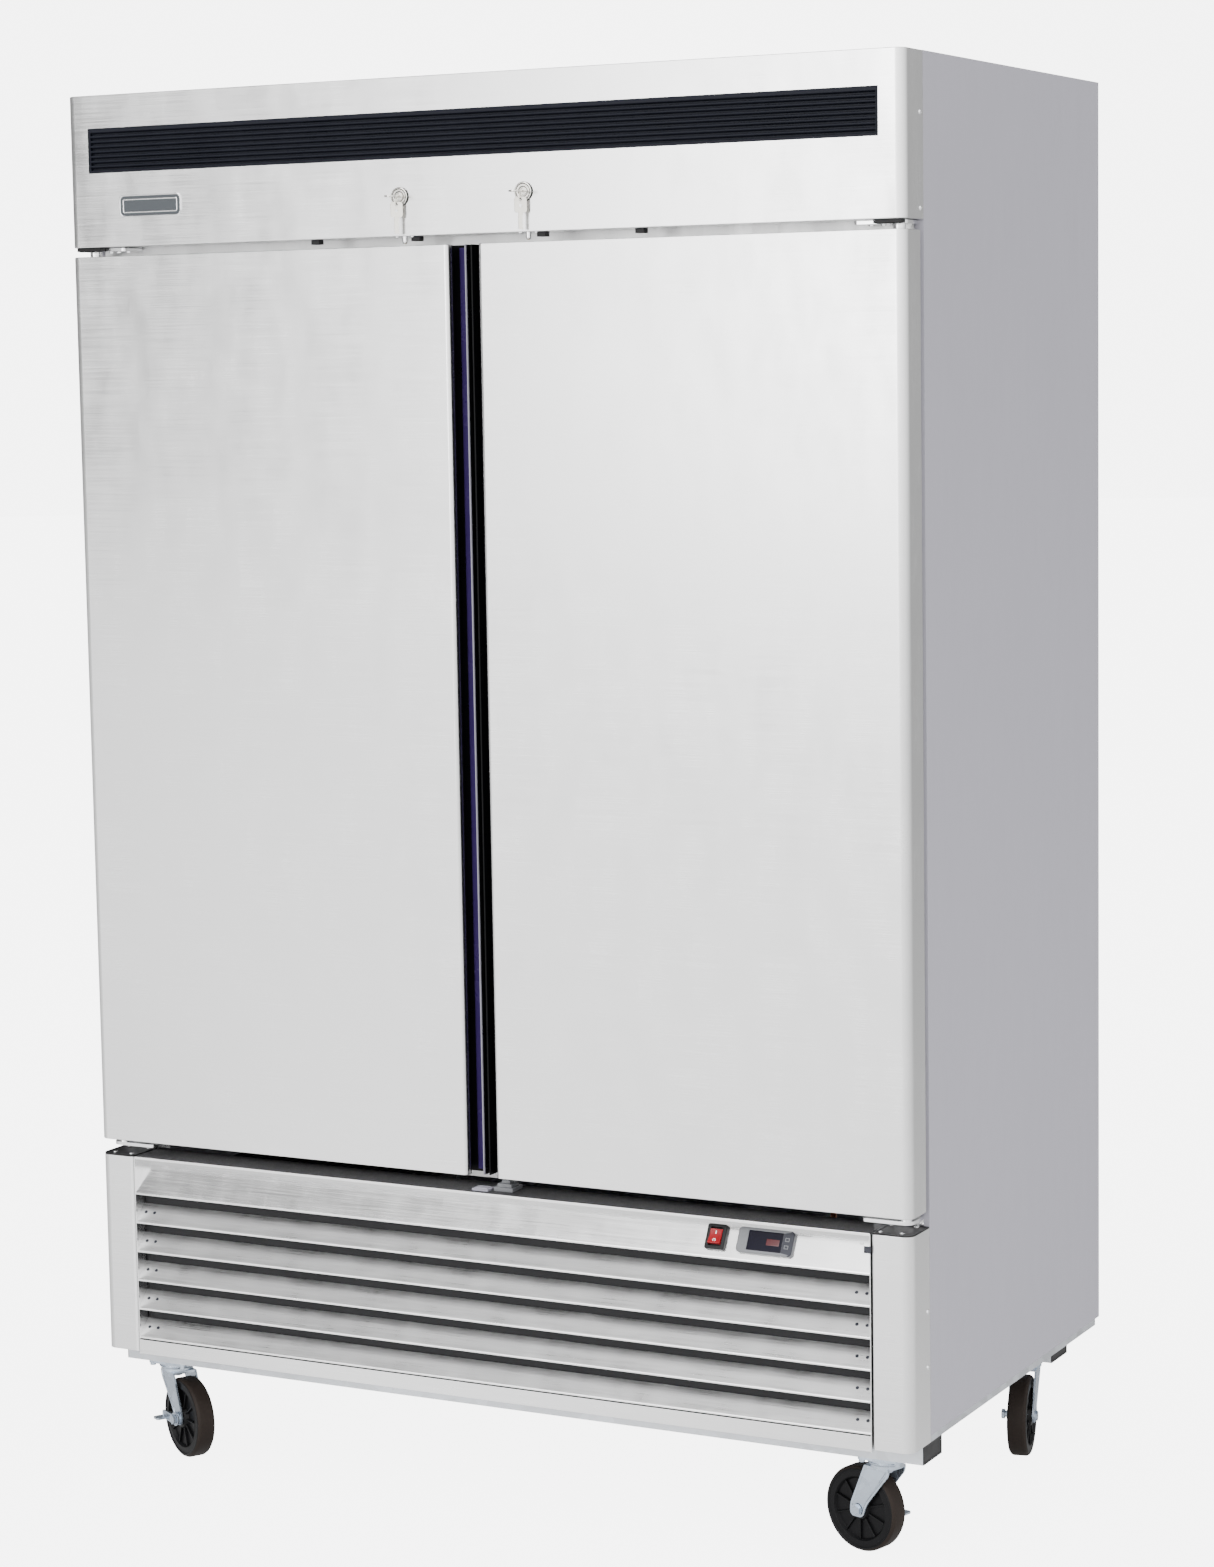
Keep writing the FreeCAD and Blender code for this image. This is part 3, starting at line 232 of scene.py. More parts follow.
def folded(name, path, run):
    """A strip of sheet: a plane whose far edge is extruded from fold to fold.

    The path holds (x, y, z) or (x, y, z, fold width) points, and the run is the strip's width."""
    points = [Vector(point[:3]) for point in path]
    run = Vector(run)
    along = points[1] - points[0]
    turn = Matrix((along.normalized(), run.normalized(), along.cross(run).normalized())).transposed()
    fresh()
    bpy.ops.mesh.primitive_plane_add(
        size=1.0, location=(points[0] + points[1] + run) / 2, rotation=turn.to_euler(),
    )
    bpy.context.object.scale = (along.length, run.length, 1)
    piece = settled(name)

    def on_fold(point):
        return lambda place: (place - point).cross(run).length < NEAR * run.length

    edges(piece, on_fold(points[1]))
    for start, end in zip(points[1:], points[2:]):
        move(end - start)
    for point, source in zip(points, path):
        if len(source) > 3 and source[3] > 0:
            edges(piece, on_fold(point))
            soften(source[3], 8 if source[3] > 0.004 else 3)
    return piece


def face_outwards():
    """Turn every face of the mesh in edit mode outwards."""
    bpy.ops.mesh.select_all(action="SELECT")
    bpy.ops.mesh.normals_make_consistent(inside=False)


def close_ends(piece, axis):
    """Fill the two ends of a folded strip."""
    hold(piece)
    values = [vertex.co[axis] for vertex in piece.data.vertices]
    for value in (min(values), max(values)):
        edges(piece, lambda place: abs(place[axis] - value) < NEAR)
        bpy.ops.mesh.edge_face_add()
    face_outwards()


def modifier(piece, kind, **values):
    """Add a modifier, set it and apply it."""
    hold(piece)
    made = piece.modifiers.new(kind.title(), kind)
    for key, value in values.items():
        setattr(made, key, value)
    bpy.ops.object.modifier_apply(modifier=made.name)
    return piece


def thicken(piece, thickness, outward):
    """Give a bare sheet its thickness, behind the face that looks outwards from a point."""
    hold(piece)
    biggest = max(piece.data.polygons, key=lambda face: face.area)
    if biggest.normal.dot(biggest.center - Vector(outward)) < 0:
        bpy.ops.object.mode_set(mode="EDIT")
        bpy.ops.mesh.select_all(action="SELECT")
        bpy.ops.mesh.flip_normals()
    return modifier(piece, "SOLIDIFY", thickness=thickness, offset=-1.0, use_even_offset=True)


def placed(piece, matrix):
    """Move a piece's mesh by a matrix."""
    fresh()
    piece.data.transform(matrix)
    return piece


def carve(piece, cutter):
    """Cut one closed piece away from another."""
    hold(piece)
    modifier(piece, "BOOLEAN", object=cutter, operation="DIFFERENCE", solver="EXACT")
    bpy.data.objects.remove(cutter)
    return piece


def coil(name, centre, radius, wire, turns, pitch):
    """A wire wound about a line along Y, with both ends closed."""
    fresh()
    centre = Vector(centre)
    bpy.ops.mesh.primitive_circle_add(
        vertices=10, radius=wire, location=(radius, -pitch * turns / 2, 0), rotation=(0, 0, 0),
    )
    piece = settled(name)
    modifier(
        piece, "SCREW", axis="Y", angle=2 * math.pi * turns, screw_offset=pitch * turns, iterations=1,
        steps=96, render_steps=96, use_normal_calculate=True,
    )
    select(piece, "EDGE", lambda edge: edge.is_boundary)
    bpy.ops.mesh.edge_face_add()
    face_outwards()
    return placed(piece, Matrix.Translation(centre))


def joined(name, pieces):
    """Several pieces as one object."""
    hold(pieces[0])
    for piece in pieces:
        piece.select_set(True)
    bpy.ops.object.join()
    whole = bpy.context.object
    whole.name = name
    whole.data.name = name
    return whole


def copied(piece, name, place):
    """A copy with a mesh of its own, moved by a matrix."""
    fresh()
    twin = piece.copy()
    twin.data = piece.data.copy()
    twin.name = name
    twin.data.name = name
    bpy.context.collection.objects.link(twin)
    twin.data.transform(place)
    if place.determinant() < 0:
        twin.data.flip_normals()
    return twin


def closed_section(name, outline, run, axis):
    """A solid bar whose section is a closed outline of (x, y, z, fold width) points."""
    piece = folded(name, [*outline, outline[0][:3]], run)
    bpy.ops.mesh.select_all(action="SELECT")
    bpy.ops.mesh.remove_doubles(threshold=NEAR)
    close_ends(piece, axis)
    return piece


def slab(name, low, high, body, finish, pressing, slot, replaced=(), side=1, **looks):
    """A finished block with one face inset in steps: the pressing is a direction, then the steps."""
    piece = side_block(name, side, low, high)
    pressed(piece, *pressing)
    return done(piece, body, finish, slot, replaced, **looks)


def pair(piece, name, body, finish, slot, node, **looks):
    """Finish a piece made for the right side and its mirrored twin; the side stands for each star."""
    twin = copied(piece, name.replace("*", "left"), MIRROR)
    piece.name = piece.data.name = name.replace("*", "right")
    for one, side in ((piece, "right"), (twin, "left")):
        done(one, body.replace("*", side), finish, slot, [node.replace("*", side)], **looks)


def solids(node):
    """The lowest and highest corner of each separate solid in a CAD node, in order of place."""
    mesh = bmesh.new()
    mesh.from_mesh(NODES[node].data)
    bmesh.ops.remove_doubles(mesh, verts=mesh.verts, dist=NEAR)
    unseen = set(mesh.verts)
    boxes = []
    while unseen:
        waiting = [unseen.pop()]
        group = []
        while waiting:
            corner = waiting.pop()
            group.append(corner.co.copy())
            for edge in corner.link_edges:
                other = edge.other_vert(corner)
                if other in unseen:
                    unseen.remove(other)
                    waiting.append(other)
        boxes.append((Vector(map(min, zip(*group))), Vector(map(max, zip(*group)))))
    mesh.free()
    return sorted(boxes, key=lambda pair: [round(value, 4) for value in pair[0]])


def done(piece, body, finish, slot, replaced=(), ease=0.0, segments=2, smooth=35.0, inlays=(), place=None):
    """Ease the sharp edges, shade the piece, and tie it to its body and its CAD nodes.

    Each inlay is a second finish and a test of a face's middle and normal. A place is a last move. The slot
    is not used."""
    if place:
        placed(piece, place)
    hold(piece)
    if ease:
        modifier(
            piece, "BEVEL", width=ease, segments=segments, limit_method="ANGLE",
            angle_limit=math.radians(28), harden_normals=False,
        )
    bpy.ops.object.shade_smooth_by_angle(angle=math.radians(smooth))
    modifier(piece, "WEIGHTED_NORMAL", keep_sharp=True, weight=60)
    piece.data.materials.clear()
    piece.data.materials.append(FINISHES[finish])
    for i, (second, test) in enumerate(inlays, 1):
        piece.data.materials.append(FINISHES[second])
        for face in piece.data.polygons:
            if test(face.center, face.normal):
                face.material_index = i
    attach(piece, body)
    if replaced:
        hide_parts(*replaced)
    return piece


# ---- finishes ----
def node(tree, kind, inputs, **values):
    """One shader node with its settings, and its sockets linked or set."""
    made = tree.nodes.new(kind)
    for key, value in values.items():
        setattr(made, key, value)
    for socket, value in inputs.items():
        if isinstance(value, bpy.types.NodeSocket):
            tree.links.new(value, made.inputs[socket])
        else:
            made.inputs[socket].default_value = value
    return made


class Finish:
    """One material while it is put together. Patterns are in metres on Object coordinates."""

    def __init__(self, name, metallic=0.0, **sockets):
        self.material = bpy.data.materials.new(name)
        self.material.use_nodes = True
        self.tree = self.material.node_tree
        self.shader = self.tree.nodes["Principled BSDF"]
        self.shader.inputs["Metallic"].default_value = metallic
        for socket, value in sockets.items():
            self.shader.inputs[socket.replace("_", " ")].default_value = value
        self.place = self.node("ShaderNodeTexCoord").outputs["Object"]
        self.normal = None

    def node(self, kind, inputs=None, **settings):
        return node(self.tree, kind, inputs or {}, **settings)

    def noise(self, cells, detail=3.0, coarse=0.5):
        """Noise from 0 to 1, with so many cells in a metre along each axis."""
        vector = self.node("ShaderNodeMapping", {"Vector": self.place, "Scale": cells}).outputs[0]
        values = {"Vector": vector, "Scale": 1.0, "Detail": detail, "Roughness": coarse}
        return self.node("ShaderNodeTexNoise", values).outputs[0]

    def grains(self, cells, spread=1.0, output="Distance", feature="F1"):
        """Cells or grains, so many in a metre."""
        values = {"Vector": self.place, "Scale": cells, "Randomness": spread}
        return self.node("ShaderNodeTexVoronoi", values, feature=feature).outputs[output]

    def ranged(self, value, low, high, start=0.3, end=0.7):
        """A pattern spread over a range."""
        values = {"Value": value, "From Min": start, "From Max": end, "To Min": low, "To Max": high}
        return self.node("ShaderNodeMapRange", values).outputs[0]

    def mixed(self, share, first, second):
        """Two colours mixed by a pattern."""
        return self.node("ShaderNodeMix", {0: share, 6: first, 7: second}, data_type="RGBA").outputs[2]

    def height(self, axis="Z"):
        """The place along one axis, in metres."""
        return self.node("ShaderNodeSeparateXYZ", {"Vector": self.place}).outputs[axis]

    def colour(self, value):
        self.tree.links.new(value, self.shader.inputs["Base Color"])

    def roughness(self, value):
        self.tree.links.new(value, self.shader.inputs["Roughness"])

    def bump(self, pattern, depth, strength=1.0):
        """Raise the surface by a pattern; a second call adds to the first."""
        values = {"Height": pattern, "Distance": depth, "Strength": strength}
        if self.normal:
            values["Normal"] = self.normal
        self.normal = self.node("ShaderNodeBump", values).outputs[0]
        self.tree.links.new(self.normal, self.shader.inputs["Normal"])


def tone(colour, share):
    """A colour made lighter or darker, with its alpha."""
    return (*[min(channel * share, 1.0) for channel in colour[:3]], 1.0)


def brushed(name, colour, rough=(0.24, 0.4), lines=(7, 1100, 1400), depth=3e-6, metallic=1.0, wave=0.0):
    """Rolled and brushed steel: fine lines along the grain, cloudy handling marks and a slow waviness."""
    f = Finish(name, metallic)
    grain = f.noise(lines, 4.0, 0.62)
    cloud = f.noise((3.1, 3.1, 2.3), 3.0)
    smear = f.noise((22, 22, 9), 4.0, 0.6)
    mixed = f.mixed(f.ranged(grain, 0.0, 1.0, 0.32, 0.68), tone(colour, 0.9), tone(colour, 1.04))
    f.colour(f.mixed(f.ranged(cloud, 0.0, 0.6), mixed, tone(colour, 0.95)))
    base = f.ranged(grain, rough[0], rough[1], 0.3, 0.72)
    added = f.ranged(smear, -0.03, 0.05)
    f.roughness(f.node("ShaderNodeMath", {0: base, 1: added}, operation="ADD").outputs[0])
    f.bump(grain, depth)
    if wave:
        f.bump(f.noise((1.7, 1.7, 1.3), 1.0), wave)
    return f.material


def plated(name, colour, cells=55.0, rough=(0.3, 0.5), fine=900.0, metallic=0.9):
    """Zinc plate: soft spangle of slightly different greys, with a fine tooth."""
    f = Finish(name, metallic)
    spangle = f.grains(cells, output="Color")
    share = f.node("ShaderNodeSeparateXYZ", {"Vector": spangle}).outputs[0]
    tooth = f.noise((fine, fine, fine), 2.0)
    patch = f.noise((9, 9, 9), 3.0)
    body = f.mixed(f.ranged(share, 0, 1, 0, 1), tone(colour, 0.86), tone(colour, 1.1))
    f.colour(f.mixed(f.ranged(patch, 0, 0.5), body, tone(colour, 0.72)))
    f.roughness(f.ranged(share, rough[0], rough[1], 0, 1))
    f.bump(tooth, 4e-6)
    return f.material


def moulded(name, colour, rough=(0.38, 0.55), cells=1500.0, depth=1.2e-5, metallic=0.0, dust=0.25, **sockets):
    """Moulded plastic or rubber: a fine leather-like tooth, with a little dust in the patches."""
    f = Finish(name, metallic, **{"Specular_IOR_Level": 0.22, **sockets})
    tooth = f.grains(cells)
    patch = f.noise((14, 14, 14), 4.0, 0.6)
    f.colour(
        f.mixed(
            f.ranged(patch, 0, dust), tone(colour, 1.0), tone([c * 1.5 + 0.006 for c in colour[:3]], 1.0),
        ),
    )
    f.roughness(f.ranged(patch, rough[0], rough[1]))
    f.bump(tooth, depth)
    return f.material


def painted(name, colour, rough=(0.35, 0.5), peel=420.0, depth=1.5e-5, metallic=0.0, **sockets):
    """Sprayed or baked paint: orange peel and slight unevenness of shade."""
    f = Finish(name, metallic, **sockets)
    peeling = f.noise((peel, peel, peel), 2.0)
    cloud = f.noise((2.3, 2.3, 1.9), 3.0)
    f.colour(f.mixed(f.ranged(cloud, 0, 1), tone(colour, 0.97), tone(colour, 1.03)))
    f.roughness(f.ranged(peeling, rough[0], rough[1]))
    f.bump(peeling, depth)
    return f.material


def cast_foam(name, colour):
    """Rigid polyurethane foam: closed cells and a skin darkened by age."""
    f = Finish(name)
    cells = f.grains(520.0)
    age = f.noise((6, 6, 6), 4.0)
    f.colour(f.mixed(f.ranged(age, 0, 1), tone(colour, 0.82), tone(colour, 1.06)))
    f.roughness(f.ranged(cells, 0.75, 0.95, 0, 0.6))
    f.bump(cells, 3e-4)
    return f.material


def make_finishes(tones):
    """Every material of the object, by the name used below."""
    steel = tones.steel
    return {
        "steel": brushed("brushed_stainless", steel, (0.16, 0.28), wave=2e-4),
        "slat_steel": brushed("louvre_stainless", tone(steel, 0.98), (0.26, 0.4), (7, 900, 1300)),
        "side_sheet": brushed(
            "side_sheet_steel", tones.side, (0.46, 0.58), (900, 900, 5), 2e-6, 0.12, 4e-4,
        ),
        "liner": brushed("liner_steel", tone(steel, 0.86), (0.36, 0.52), (900, 1200, 6)),
        "galvanised": plated("galvanised_sheet", (0.56, 0.58, 0.61), 34.0, (0.34, 0.55)),
        "zinc": plated("bright_zinc_plate", (0.46, 0.52, 0.60), 70.0, (0.2, 0.38)),
        "bright": brushed("turned_steel", (0.86, 0.86, 0.87), (0.12, 0.22), (1500, 1500, 1500), 1.5e-6),
        "chrome": brushed("lock_chrome", (0.60, 0.585, 0.55), (0.12, 0.22), (900, 900, 900), 1e-6),
        "key": brushed("key_nickel", (0.93, 0.90, 0.82), (0.30, 0.42), (900, 900, 900), 1e-6),
        # painted shade: near-black grey that stands in for the shadow under the doors on the louvre ledge's
        # top
        "painted_shade_sill": painted(
            "sill_painted_shade", (0.035, 0.035, 0.037), (0.4, 0.55), 500.0, Specular_IOR_Level=0.15,
        ),
        # painted shade: near-black for the lock barrels' grooves and the spare keys' edges
        "lock_dark": moulded("lock_groove_painted_shade", (0.004, 0.004, 0.004), (0.4, 0.6), 1500.0),
        "door_panel": painted("door_panel_enamel", (0.80, 0.80, 0.79), (0.22, 0.34), 500.0),
        "foam": cast_foam("insulating_foam", (0.78, 0.66, 0.38)),
        "gasket": moulded("gasket_vinyl", (0.012, 0.012, 0.013), (0.42, 0.58), 1800.0),
        "grip": moulded(
            "grip_moulding", (0.0015, 0.0015, 0.002), (0.24, 0.36), 2400.0, 5e-6, dust=0.1,
            Specular_IOR_Level=0.08,
        ),
        # painted reflection: dark violet standing in for the purple sheen in the glossy grip
        "grip_violet_reflection": moulded(
            "grip_painted_reflection", (0.022, 0.012, 0.062), (0.2, 0.3), 2400.0, 4e-6, dust=0.3,
        ),
        "trim": moulded("gap_trim_grey", (0.20, 0.195, 0.23), (0.35, 0.48), 1500.0, 6e-6),
        "badge": painted("badge_enamel", (0.035, 0.04, 0.045), (0.16, 0.24), 600.0, 6e-6),
        "grille": moulded(
            "header_grille_plastic", tones.grille, (0.4, 0.54), 1300.0, 1.5e-5, dust=0.3,
            Specular_IOR_Level=0.10,
        ),
        "black": moulded("black_plastic", (0.003, 0.003, 0.0035), (0.34, 0.5), 1300.0),
        "control": moulded("controller_grey", (0.115, 0.118, 0.125), (0.34, 0.46), 1500.0, 8e-6),
        # dark grey: painted shade on the controller's right end and in the weld dimples, also used on the
        # panel clip
        "control_dark": moulded("dark_grey_and_painted_shade", (0.022, 0.023, 0.030), (0.3, 0.42), 1500.0, 8e-6),
        "lens": moulded("display_lens", (0.0025, 0.002, 0.007), (0.05, 0.11), 900.0, 1e-6, dust=0.2),
        "rocker": moulded(
            "rocker_red", (0.24, 0.006, 0.010), (0.16, 0.26), 1500.0, 3e-6, dust=0.5,
            Transmission_Weight=0.25, Subsurface_Weight=0.15,
        ),
        "lamp_red": painted("display_glow", (0.05, 0.004, 0.006), (0.1, 0.2), 900.0, 2e-6),
        "mark": painted("moulded_mark_white", (0.75, 0.74, 0.74), (0.3, 0.4)),
        "compressor": painted("compressor_paint", (0.018, 0.018, 0.02), (0.28, 0.42), 260.0, 3e-5),
        "fins": brushed("coil_fin_aluminium", (0.66, 0.67, 0.68), (0.3, 0.46), (60, 900, 60)),
        # painted shade: black for the condenser and its fan shroud, standing in for the shade inside the
        # machine bay
        "fins_painted_shade": painted("condenser_painted_shade", (0.02, 0.02, 0.022), (0.4, 0.55), 500.0, 2e-5),
        "copper": brushed("copper_tube", (0.72, 0.33, 0.20), (0.2, 0.38), (400, 400, 400), 2e-6),
        "shelf": painted("shelf_epoxy", (0.62, 0.63, 0.63), (0.26, 0.38), 380.0, 3e-5),
        "fan": moulded("fan_blade_plastic", (0.045, 0.047, 0.05), (0.36, 0.5), 1200.0),
        "tread": moulded(
            "wheel_tread_rubber", (0.009, 0.006, 0.0045), (0.5, 0.68), 700.0, 4e-5, dust=0.5,
            Specular_IOR_Level=0.12,
        ),
        "wheel": moulded(
            "wheel_core_nylon", (0.002, 0.002, 0.0024), (0.36, 0.5), 1100.0, 1.5e-5, Specular_IOR_Level=0.12,
        ),
        "lamp": painted("lamp_diffuser", (0.86, 0.87, 0.88), (0.3, 0.4), 500.0, 6e-6),
        # painted shade: near-black for the sheet that darkens the machine bay behind the louvres
        "shadow": moulded("painted_shade_gap", (0.008, 0.008, 0.009), (0.5, 0.7), 900.0),
    }


class ToneSettings(bpy.types.PropertyGroup):
    """Main colours."""

    steel: FloatVectorProperty(
        name="Stainless", description="Colour of the brushed stainless steel", subtype="COLOR",
        size=3, min=0.0, max=1.0, default=(0.80, 0.80, 0.802),
    )
    side: FloatVectorProperty(
        name="Side sheet", description="Colour of the side sheets", subtype="COLOR",
        size=3, min=0.0, max=1.0, default=(0.27, 0.264, 0.30),
    )
    grille: FloatVectorProperty(
        name="Header grille", description="Colour of the ribbed insert in the header", subtype="COLOR",
        size=3, min=0.0, max=1.0, default=(0.0035, 0.0042, 0.0075),
    )


# ---- the stage ----
class StageSettings(bpy.types.PropertyGroup):
    """Camera, lights and floor."""

    eye: FloatVectorProperty(
        name="Camera place", description="Where the camera stands", subtype="TRANSLATION", unit="LENGTH",
        size=3, default=(2.590, -4.910, 1.712),
    )
    yaw: FloatProperty(
        name="Yaw", description="Turn of the camera to the left of straight ahead", subtype="ANGLE",
        default=math.radians(27.55),
    )
    pitch: FloatProperty(
        name="Pitch", description="Tilt of the camera below the level", subtype="ANGLE",
        default=math.radians(6.61),
    )
    roll: FloatProperty(
        name="Roll", description="Turn of the camera about its own axis", subtype="ANGLE",
        default=math.radians(0.94),
    )
    lens: FloatProperty(
        name="Lens", description="Focal length in millimetres on a 36 mm sensor", min=1.0, default=82.06,
    )
    floor_colour: FloatVectorProperty(
        name="Floor", description="Colour of the studio floor", subtype="COLOR", size=3, min=0.0, max=1.0,
        default=(0.14, 0.14, 0.14),
    )
    front_light: FloatProperty(
        name="Front light", description="Radiance of the studio at its brightest", default=12.0,
    )
    backdrop: FloatProperty(
        name="Backdrop", description="Radiance of the studio as the camera sees it", default=6.0,
    )
    floor_glow: FloatProperty(
        name="Floor glow", description="Light from within the translucent studio floor", default=1.9,
    )


# brightness by direction, as (degrees to the right of straight ahead of the doors, share of the most)
SKY = (
    (-180, 0.012), (-110, 0.025), (-60, 0.033), (-43, 0.028), (-36, 0.042), (-31, 0.117), (-26, 0.5),
    (-20, 1), (-10, 0.5), (0, 0.35), (20, 0.283), (34, 0.108), (52, 0.142), (66, 0.110), (84, 0.030),
    (120, 0.007), (180, 0.005),
)
FLOOR = (
    (-180, 0.10), (-110, 0.25), (-60, 0.50), (-45, 0.70), (-32, 0.95), (20, 0.95), (40, 0.55), (70, 0.40),
    (100, 0.15), (130, 0.02), (180, 0.02),
)


def studio_glow(tree, place, shares, level, seen_level):
    """A radiance that changes with the direction of a place, and is even where the camera looks."""
    parts = node(tree, "ShaderNodeSeparateXYZ", {"Vector": place})
    ahead = node(tree, "ShaderNodeMath", {0: parts.outputs["Y"], 1: -1.0}, operation="MULTIPLY").outputs[0]
    azimuth = node(tree, "ShaderNodeMath", {0: parts.outputs["X"], 1: ahead}, operation="ARCTAN2").outputs[0]
    share = node(
        tree, "ShaderNodeMapRange", {"Value": azimuth, "From Min": -math.pi, "From Max": math.pi},
    ).outputs[0]
    ramp = node(tree, "ShaderNodeValToRGB", {"Fac": share})
    stops = ramp.color_ramp.elements
    for i, (degrees, value) in enumerate(shares):
        stop = stops[i] if i < 2 else stops.new(0.5)
        stop.position = 0.5 + degrees / 360
    for stop, (degrees, value) in zip(sorted(stops, key=lambda one: one.position), shares):
        stop.color = (value, value, value, 1.0)
    glow = node(tree, "ShaderNodeMath", {0: ramp.outputs[0], 1: level}, operation="MULTIPLY").outputs[0]
    seen = node(tree, "ShaderNodeLightPath", {}).outputs["Is Camera Ray"]
    return node(tree, "ShaderNodeMix", {0: seen, 2: glow, 3: seen_level}).outputs[0]


def studio_sky(settings):
    """A soft white studio, brightest in front of the doors, that the camera sees as plain white."""
    world = bpy.data.worlds.new("studio")
    bpy.context.scene.world = world
    world.use_nodes = True
    tree = world.node_tree
    tree.nodes.clear()
    place = node(tree, "ShaderNodeTexCoord", {}).outputs["Generated"]
    strength = studio_glow(tree, place, SKY, settings.front_light, settings.backdrop)
    light = node(tree, "ShaderNodeBackground", {"Color": (1, 1, 1, 1), "Strength": strength})
    node(tree, "ShaderNodeOutputWorld", {"Surface": light.outputs[0]})


def soft_box(name, place, aim, size, power):
    """One large square lamp aimed at a point, left out of reflections and of the picture."""
    fresh()
    turn = (Vector(aim) - Vector(place)).to_track_quat("-Z", "Y").to_euler()
    bpy.ops.object.light_add(type="AREA", location=place, rotation=turn)
    lamp = bpy.context.object
    lamp.name = name
    lamp.data.shape = "SQUARE"
    lamp.data.size = size
    lamp.data.energy = power
    lamp.visible_glossy = False
    lamp.visible_camera = False


class FRIDGE_OT_stage(bpy.types.Operator):
    """Camera, soft lights and a plain pale floor"""

    bl_idname = "fridge.stage"
    bl_label = "Stage"

    def execute(self, context):
        settings = context.scene.fridge_stage
        fresh()
        bpy.ops.object.camera_add()
        camera = bpy.context.object
        camera.name = "camera"
        camera.data.lens = settings.lens
        camera.data.sensor_width = 36.0
        yaw, pitch, roll = settings.yaw, settings.pitch, settings.roll
        forward = Vector(
            (-math.sin(yaw) * math.cos(pitch), math.cos(yaw) * math.cos(pitch), -math.sin(pitch)),
        )
        level = Vector((math.cos(yaw), math.sin(yaw), 0))
        down = forward.cross(level)
        right = level * math.cos(roll) + down * math.sin(roll)
        below = down * math.cos(roll) - level * math.sin(roll)
        camera.matrix_world = (
            Matrix.Translation(settings.eye)
            @ Matrix((right, -below, -forward)).transposed().to_4x4()
        )
        context.scene.camera = camera

        studio_sky(settings)
        soft_box("key_light", (3.4, -5.2, 4.6), (0, 0, 1.1), 3.2, 160)
        soft_box("fill_light", (-4.6, -3.4, 3.2), (0, 0, 1.0), 3.0, 60)
        soft_box("top_light", (0.6, 0.4, 6.2), (0, 0, 0), 5.0, 420)
        soft_box("side_light", (2.7, 0.1, 0.1), (0.7, 0.1, 0.1), 1.5, 42)

        fresh()
        bpy.ops.mesh.primitive_circle_add(vertices=96, radius=40.0, fill_type="NGON")
        floor = settled("studio_floor")
        paint = Finish("studio_floor_paint")
        shade = (*settings.floor_colour, 1.0)
        cloud = paint.noise((0.4, 0.4, 0.4), 2.0)
        paint.colour(paint.mixed(cloud, tone(shade, 0.98), shade))
        paint.roughness(paint.ranged(cloud, 0.7, 0.8))
        paint.shader.inputs["Emission Color"].default_value = (1, 1, 1, 1)
        strength = studio_glow(paint.tree, paint.place, FLOOR, settings.floor_glow, settings.backdrop)
        paint.tree.links.new(strength, paint.shader.inputs["Emission Strength"])
        floor.data.materials.append(paint.material)
        return {"FINISHED"}


# ---- finishes on the CAD pieces that stay as they are ----
KEPT = {
    "side_sheet": ("side_panel_left", "side_panel_right"),
    "galvanised": ("top_panel", "back_panel", "machine_bay_panels", "rear_grille"),
    "foam": ("cabinet_foam", "door_foam_left", "door_foam_right"),
    "liner": ("inner_liner", "face_frame"),
    # the condenser and the fan shroud get the black painted shade of the machine bay
    "fins_painted_shade": ("condenser_coil", "fan_shroud"),
    "fan": ("condenser_fan", "evaporator_fan"),
}


class FRIDGE_OT_finishes(bpy.types.Operator):
    """Materials, and the finish of every CAD piece that stays as it is"""

    bl_idname = "fridge.finishes"
    bl_label = "Finishes"

    def execute(self, context):
        FINISHES.update(make_finishes(context.scene.fridge_tones))
        fallback = {
            "stainless": "steel", "lock_metal": "chrome", "bright_steel": "bright", "grip_black": "grip",
            "control_grey": "control", "black_plastic": "black", "switch_red": "rocker",
            "compressor_black": "compressor", "coil": "fins", "shelf_coat": "shelf", "wheel_tread": "tread"
        }
        slots = {part["node"]: part["material_slot"] for part in frame["record"]["subparts"]}
        chosen = {node: name for name, nodes in KEPT.items() for node in nodes}
        for node, piece in NODES.items():
            name = chosen.get(node) or fallback.get(slots[node], slots[node])
            piece.data.materials.clear()
            piece.data.materials.append(FINISHES[name])
        return {"FINISHED"}


# ---- the steel front ----
class FrontSettings(bpy.types.PropertyGroup):
    """Folds and edges of the sheet-metal front."""

    corner: FloatProperty(
        name="Corner fold", description="Radius of the header's and the doors' upright corners",
        unit="LENGTH", default=0.014,
    )
    post_corner: FloatProperty(
        name="Post fold", description="Radius of the posts' outer corners", unit="LENGTH", default=0.016,
    )
    edge: FloatProperty(
        name="Pressed edge", description="Radius of the folds along the top and bottom of a panel",
        unit="LENGTH", default=0.0014,
    )
    ribs: IntProperty(
        name="Grille ribs", description="Number of ribs in the header's insert", min=2, default=8,
    )


def pressed_edges(piece, axis, back, width):
    """Round the edges between a folded panel's wall and its two closed ends."""
    values = [vertex.co[axis] for vertex in bmesh.from_edit_mesh(piece.data).verts]
    ends = (min(values), max(values))

    def rim(edge):
        first, second = (end.co for end in edge.verts)
        level = any(abs(first[axis] - end) < NEAR and abs(second[axis] - end) < NEAR for end in ends)
        return level and not (abs(first.y - back) < NEAR and abs(second.y - back) < NEAR)

    select(piece, "EDGE", rim)
    soften(width, 3)


